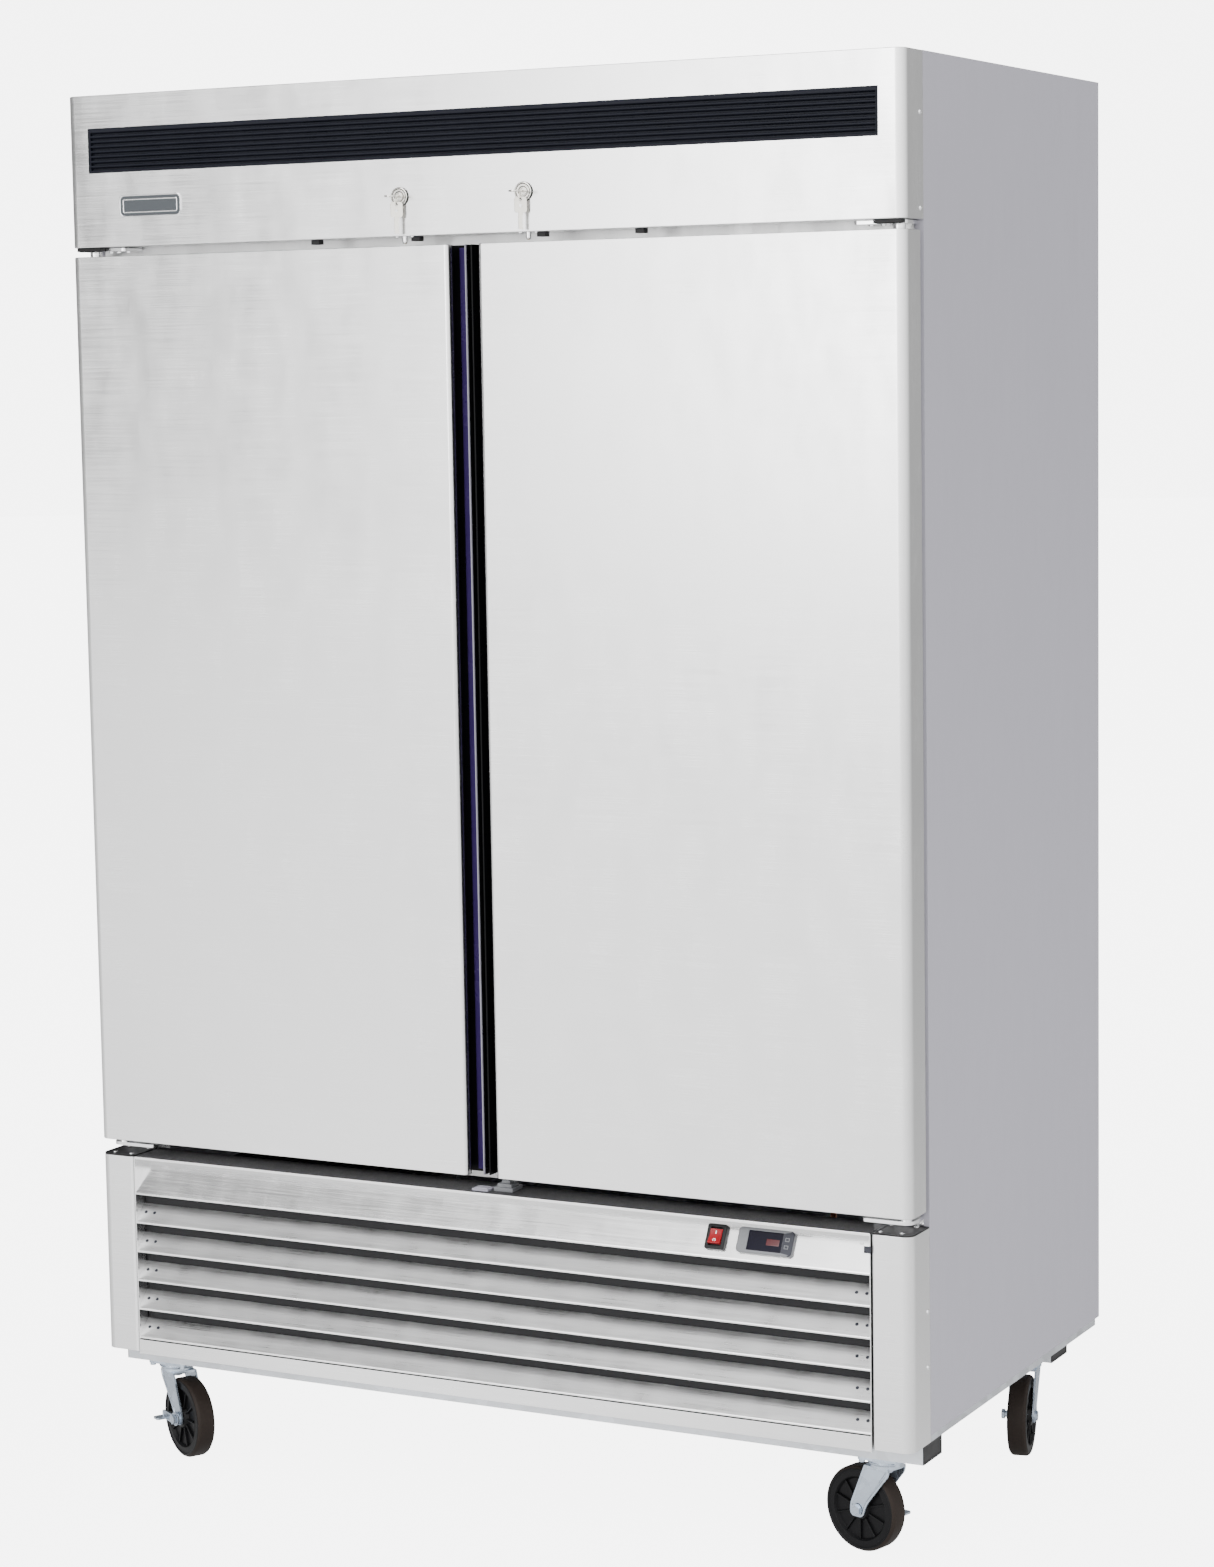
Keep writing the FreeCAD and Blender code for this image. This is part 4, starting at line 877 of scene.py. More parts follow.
class FRIDGE_OT_header(bpy.types.Operator):
    """Header cover, its ribbed black insert and the plain badge plate"""

    bl_idname = "fridge.header"
    bl_label = "Header"

    def execute(self, context):
        sizes = context.scene.fridge_front
        low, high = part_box("header_cover")
        inner = (0, 0, (low.z + high.z) / 2)
        path = [
            (low.x, high.y, low.z), (low.x, low.y, low.z, sizes.corner),
            (high.x, low.y, low.z, sizes.corner), (high.x, high.y, low.z),
        ]
        cover = folded("header_shell", path, Z * (high.z - low.z))
        close_ends(cover, 2)
        pressed_edges(cover, 2, high.y, sizes.edge)
        insert_low, insert_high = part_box("header_grille")
        gap = Vector((0.0004, 0, 0.0004))
        window(cover, 1, low.y, insert_low - gap, insert_high + gap)
        select(
            cover, "EDGE", lambda edge: edge.is_boundary and all(v.co.y < low.y + NEAR for v in edge.verts),
        )
        move((0, 0.0028, 0))
        thicken(cover, SHEET, inner)
        done(cover, "cabinet", "steel", "stainless", ["header_cover"], ease=0.00022)

        rim = 0.0035
        floor = 0.0048
        face = 0.0012
        rise = (insert_high.z - insert_low.z - 2 * rim) / sizes.ribs
        start = insert_low.z + rim
        front = insert_low.y
        path = [(insert_low.x, front + 0.007, insert_low.z), (insert_low.x, front, insert_low.z, 0.0006)]
        for i in range(sizes.ribs):
            foot = start + i * rise
            path += [
                (insert_low.x, front, foot, 0.0005),
                (insert_low.x, front + floor, foot + 0.1 * rise, 0.0005),
                (insert_low.x, front + floor, foot + 0.44 * rise, 0.0006),
                (insert_low.x, front, foot + 0.68 * rise, 0.0007),
            ]
        path += [(insert_low.x, front, insert_high.z, 0.0006), (insert_low.x, front + 0.007, insert_high.z)]
        ribs = folded("header_ribs", path, X * (insert_high.x - insert_low.x))
        thicken(ribs, face, (0, 0, inner[2]))
        caps = []
        for side in (-1, 1):
            cap = side_block(
                "rib_cap", side, (insert_high.x - rim, front - 0.0002, insert_low.z),
                (insert_high.x, insert_high.y, insert_high.z),
            )
            pressed(cap, -Y, (0.0009, 0), (0.0003, -0.0005))
            caps.append(cap)
        whole = joined("header_insert", [ribs, *caps])
        done(whole, "cabinet", "grille", "black_plastic", ["header_grille"], ease=0.0003)

        low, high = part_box("badge_plate")
        plate = block("badge", low, high)
        long_edges(plate, 1)
        soften(0.009, 8)
        pressed(
            plate, -Y, (0.0016, 0), (0.0006, -0.0007), (0.0044, 0), (0.0004, 0.0003), (0.0008, 0),
            (0.0004, -0.0003),
        )

        def field(centre, normal):
            return centre.y > low.y + 0.0005 and normal.y < -0.9

        done(plate, "cabinet", "bright", "badge", ["badge_plate"], ease=0.0002,
             inlays=[("badge", field)])
        return {"FINISHED"}


class FRIDGE_OT_doors(bpy.types.Operator):
    """Both doors: skin, inner panel, gasket and the recessed grip down the meeting edge"""

    bl_idname = "fridge.doors"
    bl_label = "Doors"

    def execute(self, context):
        sizes = context.scene.fridge_front
        low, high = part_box("door_skin_right")
        grip_low, grip_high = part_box("door_grip_right")
        root = grip_high.x + 0.0002
        lip = grip_low.y - 0.0002
        z = low.z
        path = [
            (high.x, high.y, z), (high.x, low.y, z, sizes.corner), (low.x, low.y, z, 0.006),
            (low.x, lip, z, 0.002), (root, lip, z, 0.0008), (root, high.y, z),
        ]
        skin = folded("skin", path, Z * (high.z - low.z))
        close_ends(skin, 2)
        pressed_edges(skin, 2, high.y, sizes.edge)
        thicken(skin, SHEET, ((low.x + high.x) / 2, high.y, (low.z + high.z) / 2))
        bolt_low, bolt_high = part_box("lock_bolt_right")
        strike = (bolt_low + bolt_high) / 2
        strike.z = high.z
        carve(skin, rod("strike", strike - Z * 0.005, strike + Z * 0.005, 0.0052, 32))

        panel_low, panel_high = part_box("door_inner_panel_right")
        sheet_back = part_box("door_skin_right")[1].y
        panel = block("panel", panel_low, (panel_high.x, sheet_back, panel_high.z))
        faces(panel, Y)
        tray = panel_high.y - sheet_back
        steps(
            (0.048, 0), (0.0045, 0.45 * tray), (0.0035, 0.55 * tray), (0.034, 0), (0.004, -0.0022),
            (0.003, -0.0012), (0.05, 0), (0.0035, 0.0018),
        )

        seal_low, seal_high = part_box("door_gasket_right")
        seal = block("seal", seal_low, seal_high)
        across(seal, 1)
        bpy.ops.mesh.inset(thickness=0.02)
        bpy.ops.mesh.bridge_edge_loops()
        sides_of(seal, 1)
        steps((0.0026, 0), (0.0014, -0.0026), (0.0012, 0.0018))
        select(seal, "FACE", lambda face: face.normal.y > 0.9)
        steps((0.004, 0), (0.0012, -0.0010))

        wall = 0.002
        gap = grip_low.x
        floor = grip_high.y - 0.020
        lip_in = grip_low.y
        outline = [
            (gap, grip_high.y, z), (gap, lip_in + 0.004, z, 0.0009), (gap + 0.003, lip_in + 0.004, z, 0.0009),
            (gap + 0.003, floor, z, 0.002), (root - wall, floor, z, 0.004),
            (root - wall, lip_in + wall, z, 0.002), (low.x + 0.0002, lip_in + wall, z),
            (low.x + 0.0002, lip_in, z), (grip_high.x, lip_in, z), (grip_high.x, grip_high.y, z),
        ]
        channel = closed_section("channel", outline, Z * (grip_high.z - grip_low.z), 2)

        for part, piece, finish, slot, node, ease in (
            ("skin", skin, "steel", "stainless", "door_skin_*", 0.0002),
            ("inner_panel", panel, "door_panel", "door_panel", "door_inner_panel_*", 0.0012),
            ("seal", seal, "gasket", "gasket", "door_gasket_*", 0.0008),
            ("grip_channel", channel, "grip", "grip_black", "door_grip_*", 0.0003),
        ):
            pair(piece, "door_*_" + part, "door_*", finish, slot, node, ease=ease, segments=3)

        # the left door carries a pale sealing bead and a violet strip beside the meeting line; the strip's
        # violet is a painted reflection, the purple sheen of the glossy grip
        bead_low = Vector((-gap - 0.0018, lip_in + 0.0012, z + 0.001))
        slab(
            "door_left_gap_bead", bead_low, (-gap - 0.0002, lip_in + 0.0045, grip_high.z - 0.001),
            "door_left", "trim", [-Y, (0.0003, 0.0006)], "grip_black", ease=0.0005, segments=3,
        )
        slab(
            "door_left_grip_strip", (-gap - 0.0215, floor - 0.0016, z + 0.004),
            (-gap - 0.0105, floor - 0.0002, grip_high.z - 0.004), "door_left", "grip_violet_reflection",
            [-Y, (0.0012, 0), (0.0006, 0.0008)], "grip_black", ease=0.0004, segments=3,
        )
        return {"FINISHED"}


class FRIDGE_OT_posts(bpy.types.Operator):
    """Folded corner posts, the black plates on their tops and every cover screw"""

    bl_idname = "fridge.posts"
    bl_label = "Posts and screws"

    def execute(self, context):
        sizes = context.scene.fridge_front
        low, high = solids("corner_posts")[-1]
        path = [
            (low.x, high.y, low.z), (low.x, low.y, low.z, 0.005), (high.x, low.y, low.z, sizes.post_corner),
            (high.x, high.y, low.z),
        ]
        post = folded("post", path, Z * (high.z - low.z))
        thicken(post, SHEET, ((low.x + high.x) / 2, high.y, (low.z + high.z) / 2))
        cap_low, cap_high = solids("post_caps")[-1]
        cap = block("cap", cap_low, cap_high)
        select(cap, "EDGE", upright_edge_at(cap_high.x, cap_low.y))
        soften(0.014, 8)
        select(cap, "EDGE", upright_edge_at(cap_low.x, cap_low.y))
        soften(0.004, 4)
        pressed(cap, Z, (0.003, 0), (0.0006, -0.0006))
        pair(post, "corner_post_*", "cabinet", "steel", "stainless", "corner_posts", ease=0.0003)
        pair(cap, "post_cap_*", "cabinet", "black", "black_plastic", "post_caps", ease=0.0003)

        pattern = cross_head_screw("screw_pattern", 0.0036, 0.0016)
        heads = []
        for i, (corner, far) in enumerate(solids("cover_screws")):
            size = far - corner
            middle = (corner + far) / 2
            if abs(size.x - size.y) < 2e-4:
                facing = Z if middle.z < 1 else -Z
            else:
                facing = X * (1 if middle.x > 0 else -1)
            outside = far if sum(facing) > 0 else corner
            axis = max(range(3), key=lambda j: abs(facing[j]))
            seat = middle.copy()
            seat[axis] = outside[axis]
            across = max(size[j] for j in range(3) if j != axis) / 2
            turn = facing.to_track_quat("Z", "Y").to_matrix().to_4x4() @ Matrix.Rotation(0.7 * i, 4, "Z")
            scale = Matrix.Diagonal((across / 0.0036, across / 0.0036, 1, 1))
            heads.append(copied(pattern, "cover_screw_%02d" % i, Matrix.Translation(seat) @ turn @ scale))
        bpy.data.objects.remove(pattern)
        whole = joined("cover_screw_heads", heads)
        done(whole, "cabinet", "bright", "bright_steel", ["cover_screws"], smooth=40)
        return {"FINISHED"}


def upright_edge_at(x, y):
    """A test for the upright edge that stands at a place."""
    return lambda edge: all(abs(v.co.x - x) < NEAR and abs(v.co.y - y) < NEAR for v in edge.verts)


def cross_head_screw(name, radius, height):
    """A pan head with a cross recess, standing below the origin's level plane with its top at z = 0."""
    head = rod(name, (0, 0, -height), (0, 0, 0), radius, 24)
    edges(head, lambda place: place.z > -NEAR)
    soften(0.45 * height, 4)
    arm, slot = 0.62 * radius, 0.16 * radius
    top = lambda face: face.normal.z > 0.99 and face.calc_center_median().z > -NEAR
    for value in (-arm, -slot, slot, arm):
        cut(head, X * value, X, top)
        cut(head, Y * value, Y, top)

    def in_cross(place):
        near, far = sorted((abs(place.x), abs(place.y)))
        return place.z > -NEAR and near < slot and far < arm

    faces(head, Z, in_cross)
    move((0, 0, -0.55 * height))
    return head


class FRIDGE_OT_louvres(bpy.types.Operator):
    """The louvred panel of the machine bay: slats, sloping band, ledge, cheeks and bottom strip"""

    bl_idname = "fridge.louvres"
    bl_label = "Louvre panel"

    def execute(self, context):
        low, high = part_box("louvre_frame")
        slats = solids("louvre_slats")
        lip = 0.003
        for i, (corner, far) in enumerate(sorted(slats, key=lambda pair: -pair[0].z)):
            path = [
                (corner.x, corner.y + 0.0040, corner.z + 0.0002),
                (corner.x, corner.y, corner.z + 0.0002, 0.0007),
                (corner.x, corner.y, corner.z + lip, 0.0011), (corner.x, far.y, far.z),
            ]
            slat = folded("louvre_slat_%d" % (i + 1), path, X * (far.x - corner.x))
            thicken(slat, SHEET, (0, corner.y + 0.05, corner.z - 0.05))
            done(slat, "cabinet", "slat_steel", "stainless", ["louvre_slats"], ease=0.0002)

        band_low = max(pair[0].z for pair in slats) + (slats[1][0].z - slats[0][0].z)
        inner = high.x - SHEET
        band_top = high.z - 0.005
        recess = 0.029
        path = [
            (-inner, FRONT + 0.004, band_low + 0.0002), (-inner, FRONT, band_low + 0.0002, 0.0007),
            (-inner, FRONT, band_low + lip, 0.0012),
            (-inner, FRONT + recess, band_top, 0.0008), (-inner, FRONT + recess, high.z - 0.0022),
        ]
        band = folded("louvre_band", path, X * 2 * inner)
        thicken(band, SHEET, (0, FRONT + 0.05, band_low - 0.02))
        ledge = folded(
            "louvre_ledge",
            [(-inner, FRONT + 0.0004, high.z - 0.004), (-inner, FRONT + 0.0004, high.z, 0.0009),
             (-inner, high.y, high.z)],
            X * 2 * inner,
        )
        thicken(ledge, SHEET, (0, FRONT + 0.03, high.z - 0.02))
        strip_top = min(pair[0].z for pair in slats) - 0.0015
        strip = folded(
            "louvre_foot",
            [(-inner, FRONT + 0.0012, strip_top), (-inner, FRONT, strip_top, 0.0004),
             (-inner, FRONT, low.z, 0.0012), (-inner, FRONT + 0.04, low.z)],
            X * 2 * inner,
        )
        thicken(strip, SHEET, (0, FRONT + 0.02, low.z + 0.01))
        # the ledge's upward faces get painted shade, a dark grey standing in for the shadow under the doors;
        # the band and the strip never pass the test
        for piece, dark in ((band, 2.0), (ledge, 0.9), (strip, 2.0)):
            done(piece, "cabinet", "steel", "stainless", ["louvre_frame"], ease=0.0002,
                 inlays=[("painted_shade_sill", lambda centre, normal: normal.z > dark and centre.y > FRONT + 0.003)])
        for name, side in SIDES:
            slab(
                "louvre_cheek_" + name, (inner, FRONT, low.z), (high.x, FRONT + 0.041, high.z - SHEET),
                "cabinet", "steel", [X * side, (0.004, 0), (0.0005, -0.0003)], "stainless",
                ["louvre_frame"], side=side, ease=0.0002,
            )

        # a dark sheet shaped as an air filter stands behind the slats; its near-black is painted shade for
        # the dark machine bay
        behind = max(pair[1].y for pair in slats)
        shade_sheet_low = Vector((-inner + 0.001, behind + 0.0008, low.z + 0.004))
        shade_sheet_high = Vector((inner - 0.001, behind + 0.0045, band_low - 0.001))
        slab(
            "louvre_filter_shade_sheet", shade_sheet_low, shade_sheet_high, "cabinet", "shadow",
            [-Y, (0.006, 0), (0.001, -0.001)], "black_plastic", ease=0.0006,
        )

        # spot-weld dimples at both ends of every slat
        pattern = rod("weld_pattern", (0, 0, 0), (0, 0, 0.0006), 0.0026, 16)
        pressed(pattern, Z, (0.0008, 0), (0.0005, -0.0004))
        dimples = []
        for corner, far in slats:
            slope = math.atan2(far.z - corner.z - lip, far.y - corner.y)
            place = Vector((0, corner.y + 0.013, corner.z + lip + 0.013 * math.tan(slope)))
            tilt = Matrix.Rotation(slope, 4, "X")
            for side in (-1, 1):
                for offset in (0.010, 0.026):
                    seat = Matrix.Translation(place + X * side * (inner - offset))
                    dimples.append(copied(pattern, "weld", seat @ tilt))
        bpy.data.objects.remove(pattern)
        whole = joined("louvre_spot_welds", dimples)
        # the dimples are painted dark: painted shade in the recesses
        done(whole, "cabinet", "control_dark", "stainless", ["louvre_frame"], smooth=40)

        clip = block("clip", (0.6195, FRONT - 0.0022, 0.4665), (0.6300, FRONT - 0.0008, 0.4765))
        pressed(clip, -Y, (0.0014, 0), (0.0003, -0.0003))
        screw = rod("screw", (0.6165, FRONT - 0.0024, 0.4795), (0.6165, FRONT, 0.4795), 0.0024, 24)
        edges(screw, lambda place: place.y < FRONT - 0.0023)
        soften(0.0008, 3)
        done(joined("panel_clip", [clip, screw]), "cabinet", "control_dark", "stainless", ease=0.0002,
             inlays=[("bright", lambda centre, normal: centre.x < 0.6192)])
        return {"FINISHED"}


# ---- locks, hinges and controls ----
LOCK_Z = 1.967  # height of both locks
RING_Y = -0.38075  # the spare keys' rings
KEY_HOLE_Z = 1.9553  # hole of a spare key
HINGE_X, HINGE_Y = 0.669, -0.335  # the right door's pivot
HEADER_UNDER = 1.9098  # just below the header's lower face
SILL_TOP = 0.4951  # just above the louvre panel's ledge
CONTROLLER_X, SWITCH_X = 0.461, 0.3825


class FittingSettings(bpy.types.PropertyGroup):
    """Small fittings of the front."""

    key_teeth: IntProperty(name="Key teeth", description="Cuts along a spare key's blade", min=1, default=4)
    slope: FloatProperty(
        name="Band slope", description="Lean of the band that carries the controls", subtype="ANGLE",
        default=math.atan2(0.029, 0.053),
    )
    control_depth: FloatProperty(
        name="Control depth", description="How far the controls' centre is behind the doors' front",
        unit="LENGTH", default=0.01358,
    )
    control_height: FloatProperty(
        name="Control height", description="Height of the controls' centre", unit="LENGTH", default=0.462,
    )


class FRIDGE_OT_locks(bpy.types.Operator):
    """Lock barrels, the keys in them, the spare keys on their split rings, and the bolts"""

    bl_idname = "fridge.locks"
    bl_label = "Locks and keys"

    def execute(self, context):
        sizes = context.scene.fridge_fittings
        for name, _ in SIDES:
            key_low, key_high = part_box("lock_key_" + name)
            x = (key_low.x + key_high.x) / 2
            z = LOCK_Z
            face = FRONT - 0.0035
            flange = rod("flange", (x, face, z), (x, FRONT, z), 0.014, 64)
            edges(flange, lambda place: place.y < face + NEAR)
            soften(0.0013, 4)
            pressed(
                flange, -Y, (0.0006, 0), (0.0003, -0.0006), (0.0009, 0), (0.0003, 0.0006), (0.0026, 0),
                (0.0003, -0.0006), (0.0009, 0), (0.0003, 0.0006), (0.0014, 0),
            )
            barrel = rod("barrel", (x, FRONT, z), (x, FRONT + 0.026, z), 0.0098, 48)
            for depth in (0.004, 0.007, 0.010, 0.013, 0.016, 0.019):
                cut(barrel, Y * (FRONT + depth), Y)
            sides_of(barrel, 1, lambda place: any(
                abs(place.y - FRONT - near) < 0.0004 for near in (0.0055, 0.0115, 0.0175)))
            steps((0.0004, -0.0005))
            nut = rod("nut", (x, FRONT + 0.0013, z), (x, FRONT + 0.0045, z), 0.0135, 6)
            whole = joined("lock_barrel_" + name, [flange, barrel, nut])

            # painted shade in the sunken grooves and on the sides behind the flange
            def groove(centre, normal):
                outward = math.hypot(centre.x - x, centre.z - z)
                sunken = face + 0.0004 < centre.y < face + 0.0009
                return sunken or outward > 0.0136 and centre.y > face + 0.001

            done(whole, "cabinet", "chrome", "lock_metal", ["lock_barrels"], ease=0.0001,
                 inlays=[("lock_dark", groove)])

            plug = rod("plug", (x, FRONT - 0.004, z), (x, FRONT + 0.028, z), 0.006, 48)
            pressed(plug, -Y, (0.0006, 0.0), (0.0003, -0.0004), (0.0009, 0), (0.0003, 0.0003))
            keyway = block(
                "keyway", (x - 0.0037, FRONT - 0.006, z - 0.0011), (x + 0.0037, FRONT - 0.0022, z + 0.0011),
            )
            carve(plug, keyway)
            cam = block(
                "cam", (x - 0.004, key_high.y - 0.0016, z - 0.014), (x + 0.004, key_high.y, z + 0.005),
            )
            long_edges(cam, 1)
            soften(0.0025, 4)
            blade = block(
                "blade", (x - 0.0018, key_low.y + 0.016, z - 0.0009),
                (x + 0.0018, FRONT - 0.0024, z + 0.0009),
            )
            pressed(blade, Z, (0.0007, 0), (0.0002, -0.0003))
            bow = rod("bow", (x, key_low.y + 0.009, z - 0.001), (x, key_low.y + 0.009, z + 0.001), 0.009, 48)
            eye = rod("eye", (x, key_low.y + 0.005, z - 0.004), (x, key_low.y + 0.005, z + 0.004), 0.0026, 24)
            carve(bow, eye)
            across(bow, 2, 1e-5)
            steps((0.0011, 0), (0.0003, -0.0003))
            whole = joined("lock_key_in_" + name, [plug, cam, blade, bow])
            done(whole, "lock_key_" + name, "chrome", "lock_metal", ["lock_key_" + name], ease=0.00015)

            place = Matrix.Translation((x, RING_Y, 0)) @ Matrix.Rotation(-math.radians(50), 4, "Z")
            loop = coil("split_ring", (0, 0, 1.9632), 0.0065, 0.00035, 1.92, 0.0007)
            head = block("head", (-0.0008, -0.009, KEY_HOLE_Z - 0.0185), (0.0008, 0.009, KEY_HOLE_Z + 0.0042))
            long_edges(head, 0)
            soften(0.004, 6)
            for height in (KEY_HOLE_Z, KEY_HOLE_Z - 0.0085):
                carve(head, rod("hole", (-0.003, 0, height), (0.003, 0, height), 0.0021, 24))
            across(head, 0, 1e-5)
            steps((0.0012, 0), (0.0002, -0.00025))
            bit = block("bit", (-0.0008, -0.0036, KEY_HOLE_Z - 0.042), (0.0008, 0.0036, KEY_HOLE_Z - 0.0182))
            step = 0.018 / (2 * sizes.key_teeth)
            for i in range(2 * sizes.key_teeth + 1):
                cut(bit, Z * (KEY_HOLE_Z - 0.0405 + i * step), Z)
            for i in range(sizes.key_teeth):
                level = KEY_HOLE_Z - 0.0405 + (2 * i + 1) * step
                edges(bit, lambda co: co.y > 0.0035 and abs(co.z - level) < NEAR)
                bpy.ops.transform.translate(value=(0, -0.0011 - 0.0004 * (i % 3), 0))
            whole = joined("spare_key_on_" + name, [loop, head, bit])
            placed(whole, place)
            flat = place.to_3x3() @ X

            # painted shade on the key's edges, the thin dark line that its shadow draws
            def rim(centre, normal):
                return centre.z < KEY_HOLE_Z + 0.003 and abs(normal.dot(flat)) < 0.5

            done(whole, "spare_key_" + name, "key", "lock_metal", ["spare_key_" + name], ease=0.00012,
                 inlays=[("lock_dark", rim)])

            low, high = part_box("lock_bolt_" + name)
            y = (low.y + high.y) / 2
            radius = (high.y - low.y) / 2
            bolt = rod("lock_bolt_pin_" + name, (x, y, low.z), (x, y, high.z), radius, 40)
            edges(bolt, lambda place: place.z < low.z + NEAR)
            soften(0.0037, 8)
            for level in (0.020, 0.0225):
                cut(bolt, Z * (low.z + level), Z)
            sides_of(bolt, 2, lambda place: abs(place.z - low.z - 0.02125) < 0.0005)
            steps((0.0003, -0.0006))
            done(bolt, "lock_bolt_" + name, "bright", "bright_steel", ["lock_bolt_" + name], ease=0.0002)
        return {"FINISHED"}


class FRIDGE_OT_hinges(bpy.types.Operator):
    """Hinge plates with their knuckles, pins and washers, and the small pieces around the doors' ends"""

    bl_idname = "fridge.hinges"
    bl_label = "Hinges"

    def execute(self, context):
        px, py = HINGE_X, HINGE_Y
        for part, level, sign in (("bottom", 0.511, 1), ("top", 1.904, -1)):
            low, high = sorted((level, level - sign * 0.005))
            plate = block("plate", (0.606, py - 0.014, low), (0.683, -0.302, high))
            for x, y, radius in ((0.683, py - 0.014, 0.0125), (0.606, py - 0.014, 0.006)):
                select(plate, "EDGE", upright_edge_at(x, y))
                soften(radius, 8)
            knuckle = rod("knuckle", (px, py, level), (px, py, level + sign * 0.0054), 0.009, 40)
            washer = rod(
                "washer", (px, py, level + sign * 0.0054), (px, py, level + sign * 0.0077), 0.0088, 40,
            )
            pressed(washer, Z * sign, (0.0012, 0), (0.0003, -0.0003))
            pin = rod("pin", (px, py, level), (px, py, level + sign * 0.024), 0.005, 32)
            edges(pin, lambda place: abs(place.z - level - sign * 0.024) < NEAR)
            soften(0.0012, 3)
            made = [plate, knuckle, washer, pin]
            for x in (0.620, 0.638, 0.652):
                head = rod(
                    "plate_screw", (x, -0.318, level - sign * 0.0005), (x, -0.318, level + sign * 0.0016),
                    0.0042, 6,
                )
                made.append(head)
            if sign > 0:
                flange = block("flange", (0.606, -0.304, 0.497), (0.683, -0.302, 0.506))
                made.append(flange)
            whole = joined("hinge", made)
            pair(
                whole, "hinge_%s_*" % part, "cabinet", "bright", "bright_steel", "hinge_brackets",
                ease=0.0005,
            )

        under = HEADER_UNDER
        for i, x in enumerate((-0.256, -0.084, 0.125, 0.283)):
            slab(
                "header_stop_%d" % (i + 1), (x - 0.007, FRONT + 0.009, under - 0.007),
                (x + 0.007, FRONT + 0.022, under), "cabinet", "black", [-Z, (0.0015, 0), (0.0008, -0.0008)],
                "black_plastic", ease=0.0008,
            )
        for name, side in SIDES:
            slab(
                "hinge_cover_" + name, (0.642, FRONT + 0.006, under - 0.0055),
                (0.684, FRONT + 0.020, under), "cabinet", "black", [-Z, (0.002, 0), (0.0008, 0.0006)],
                "black_plastic", side=side, ease=0.001,
            )
        slab(
            "sill_bracket", (0.010, FRONT + 0.018, SILL_TOP), (0.042, FRONT + 0.050, 0.5015), "cabinet",
            "control", [Z, (0.004, 0), (0.0002, 0.005), (0.005, 0), (0.0002, 0.0045)], "black_plastic",
            ease=0.0006,
        )
        slab(
            "sill_catch", (-0.022, FRONT + 0.008, SILL_TOP), (0.005, FRONT + 0.030, 0.4985), "cabinet",
            "trim", [Z, (0.003, 0), (0.0003, 0.0012)], "black_plastic", ease=0.0006,
        )
        return {"FINISHED"}


def band_place(sizes, x):
    """From a plane facing -Y at the origin to the sloping band."""
    return Matrix.Translation((x, FRONT + sizes.control_depth, sizes.control_height)) @ Matrix.Rotation(
        -sizes.slope, 4, "X",
    )


def bezel(name, width, height, proud, frame_width, depth, rounded):
    """A raised frame with a sunken well, facing -Y on the plane y = 0."""
    low, high = Vector((-width / 2, -proud, -height / 2)), Vector((width / 2, 0, height / 2))
    piece = block(name, low, high)
    long_edges(piece, 1)
    soften(rounded, 8)
    edges(piece, lambda place: place.y < low.y + NEAR)
    soften(0.0016, 4)
    inset = Vector((frame_width[0], 0, frame_width[1]))
    well = block("well", low + inset - Y * 0.002, (high.x - inset.x, low.y + depth, high.z - inset.z))
    long_edges(well, 1)
    soften(0.0012, 4)
    return carve(piece, well)


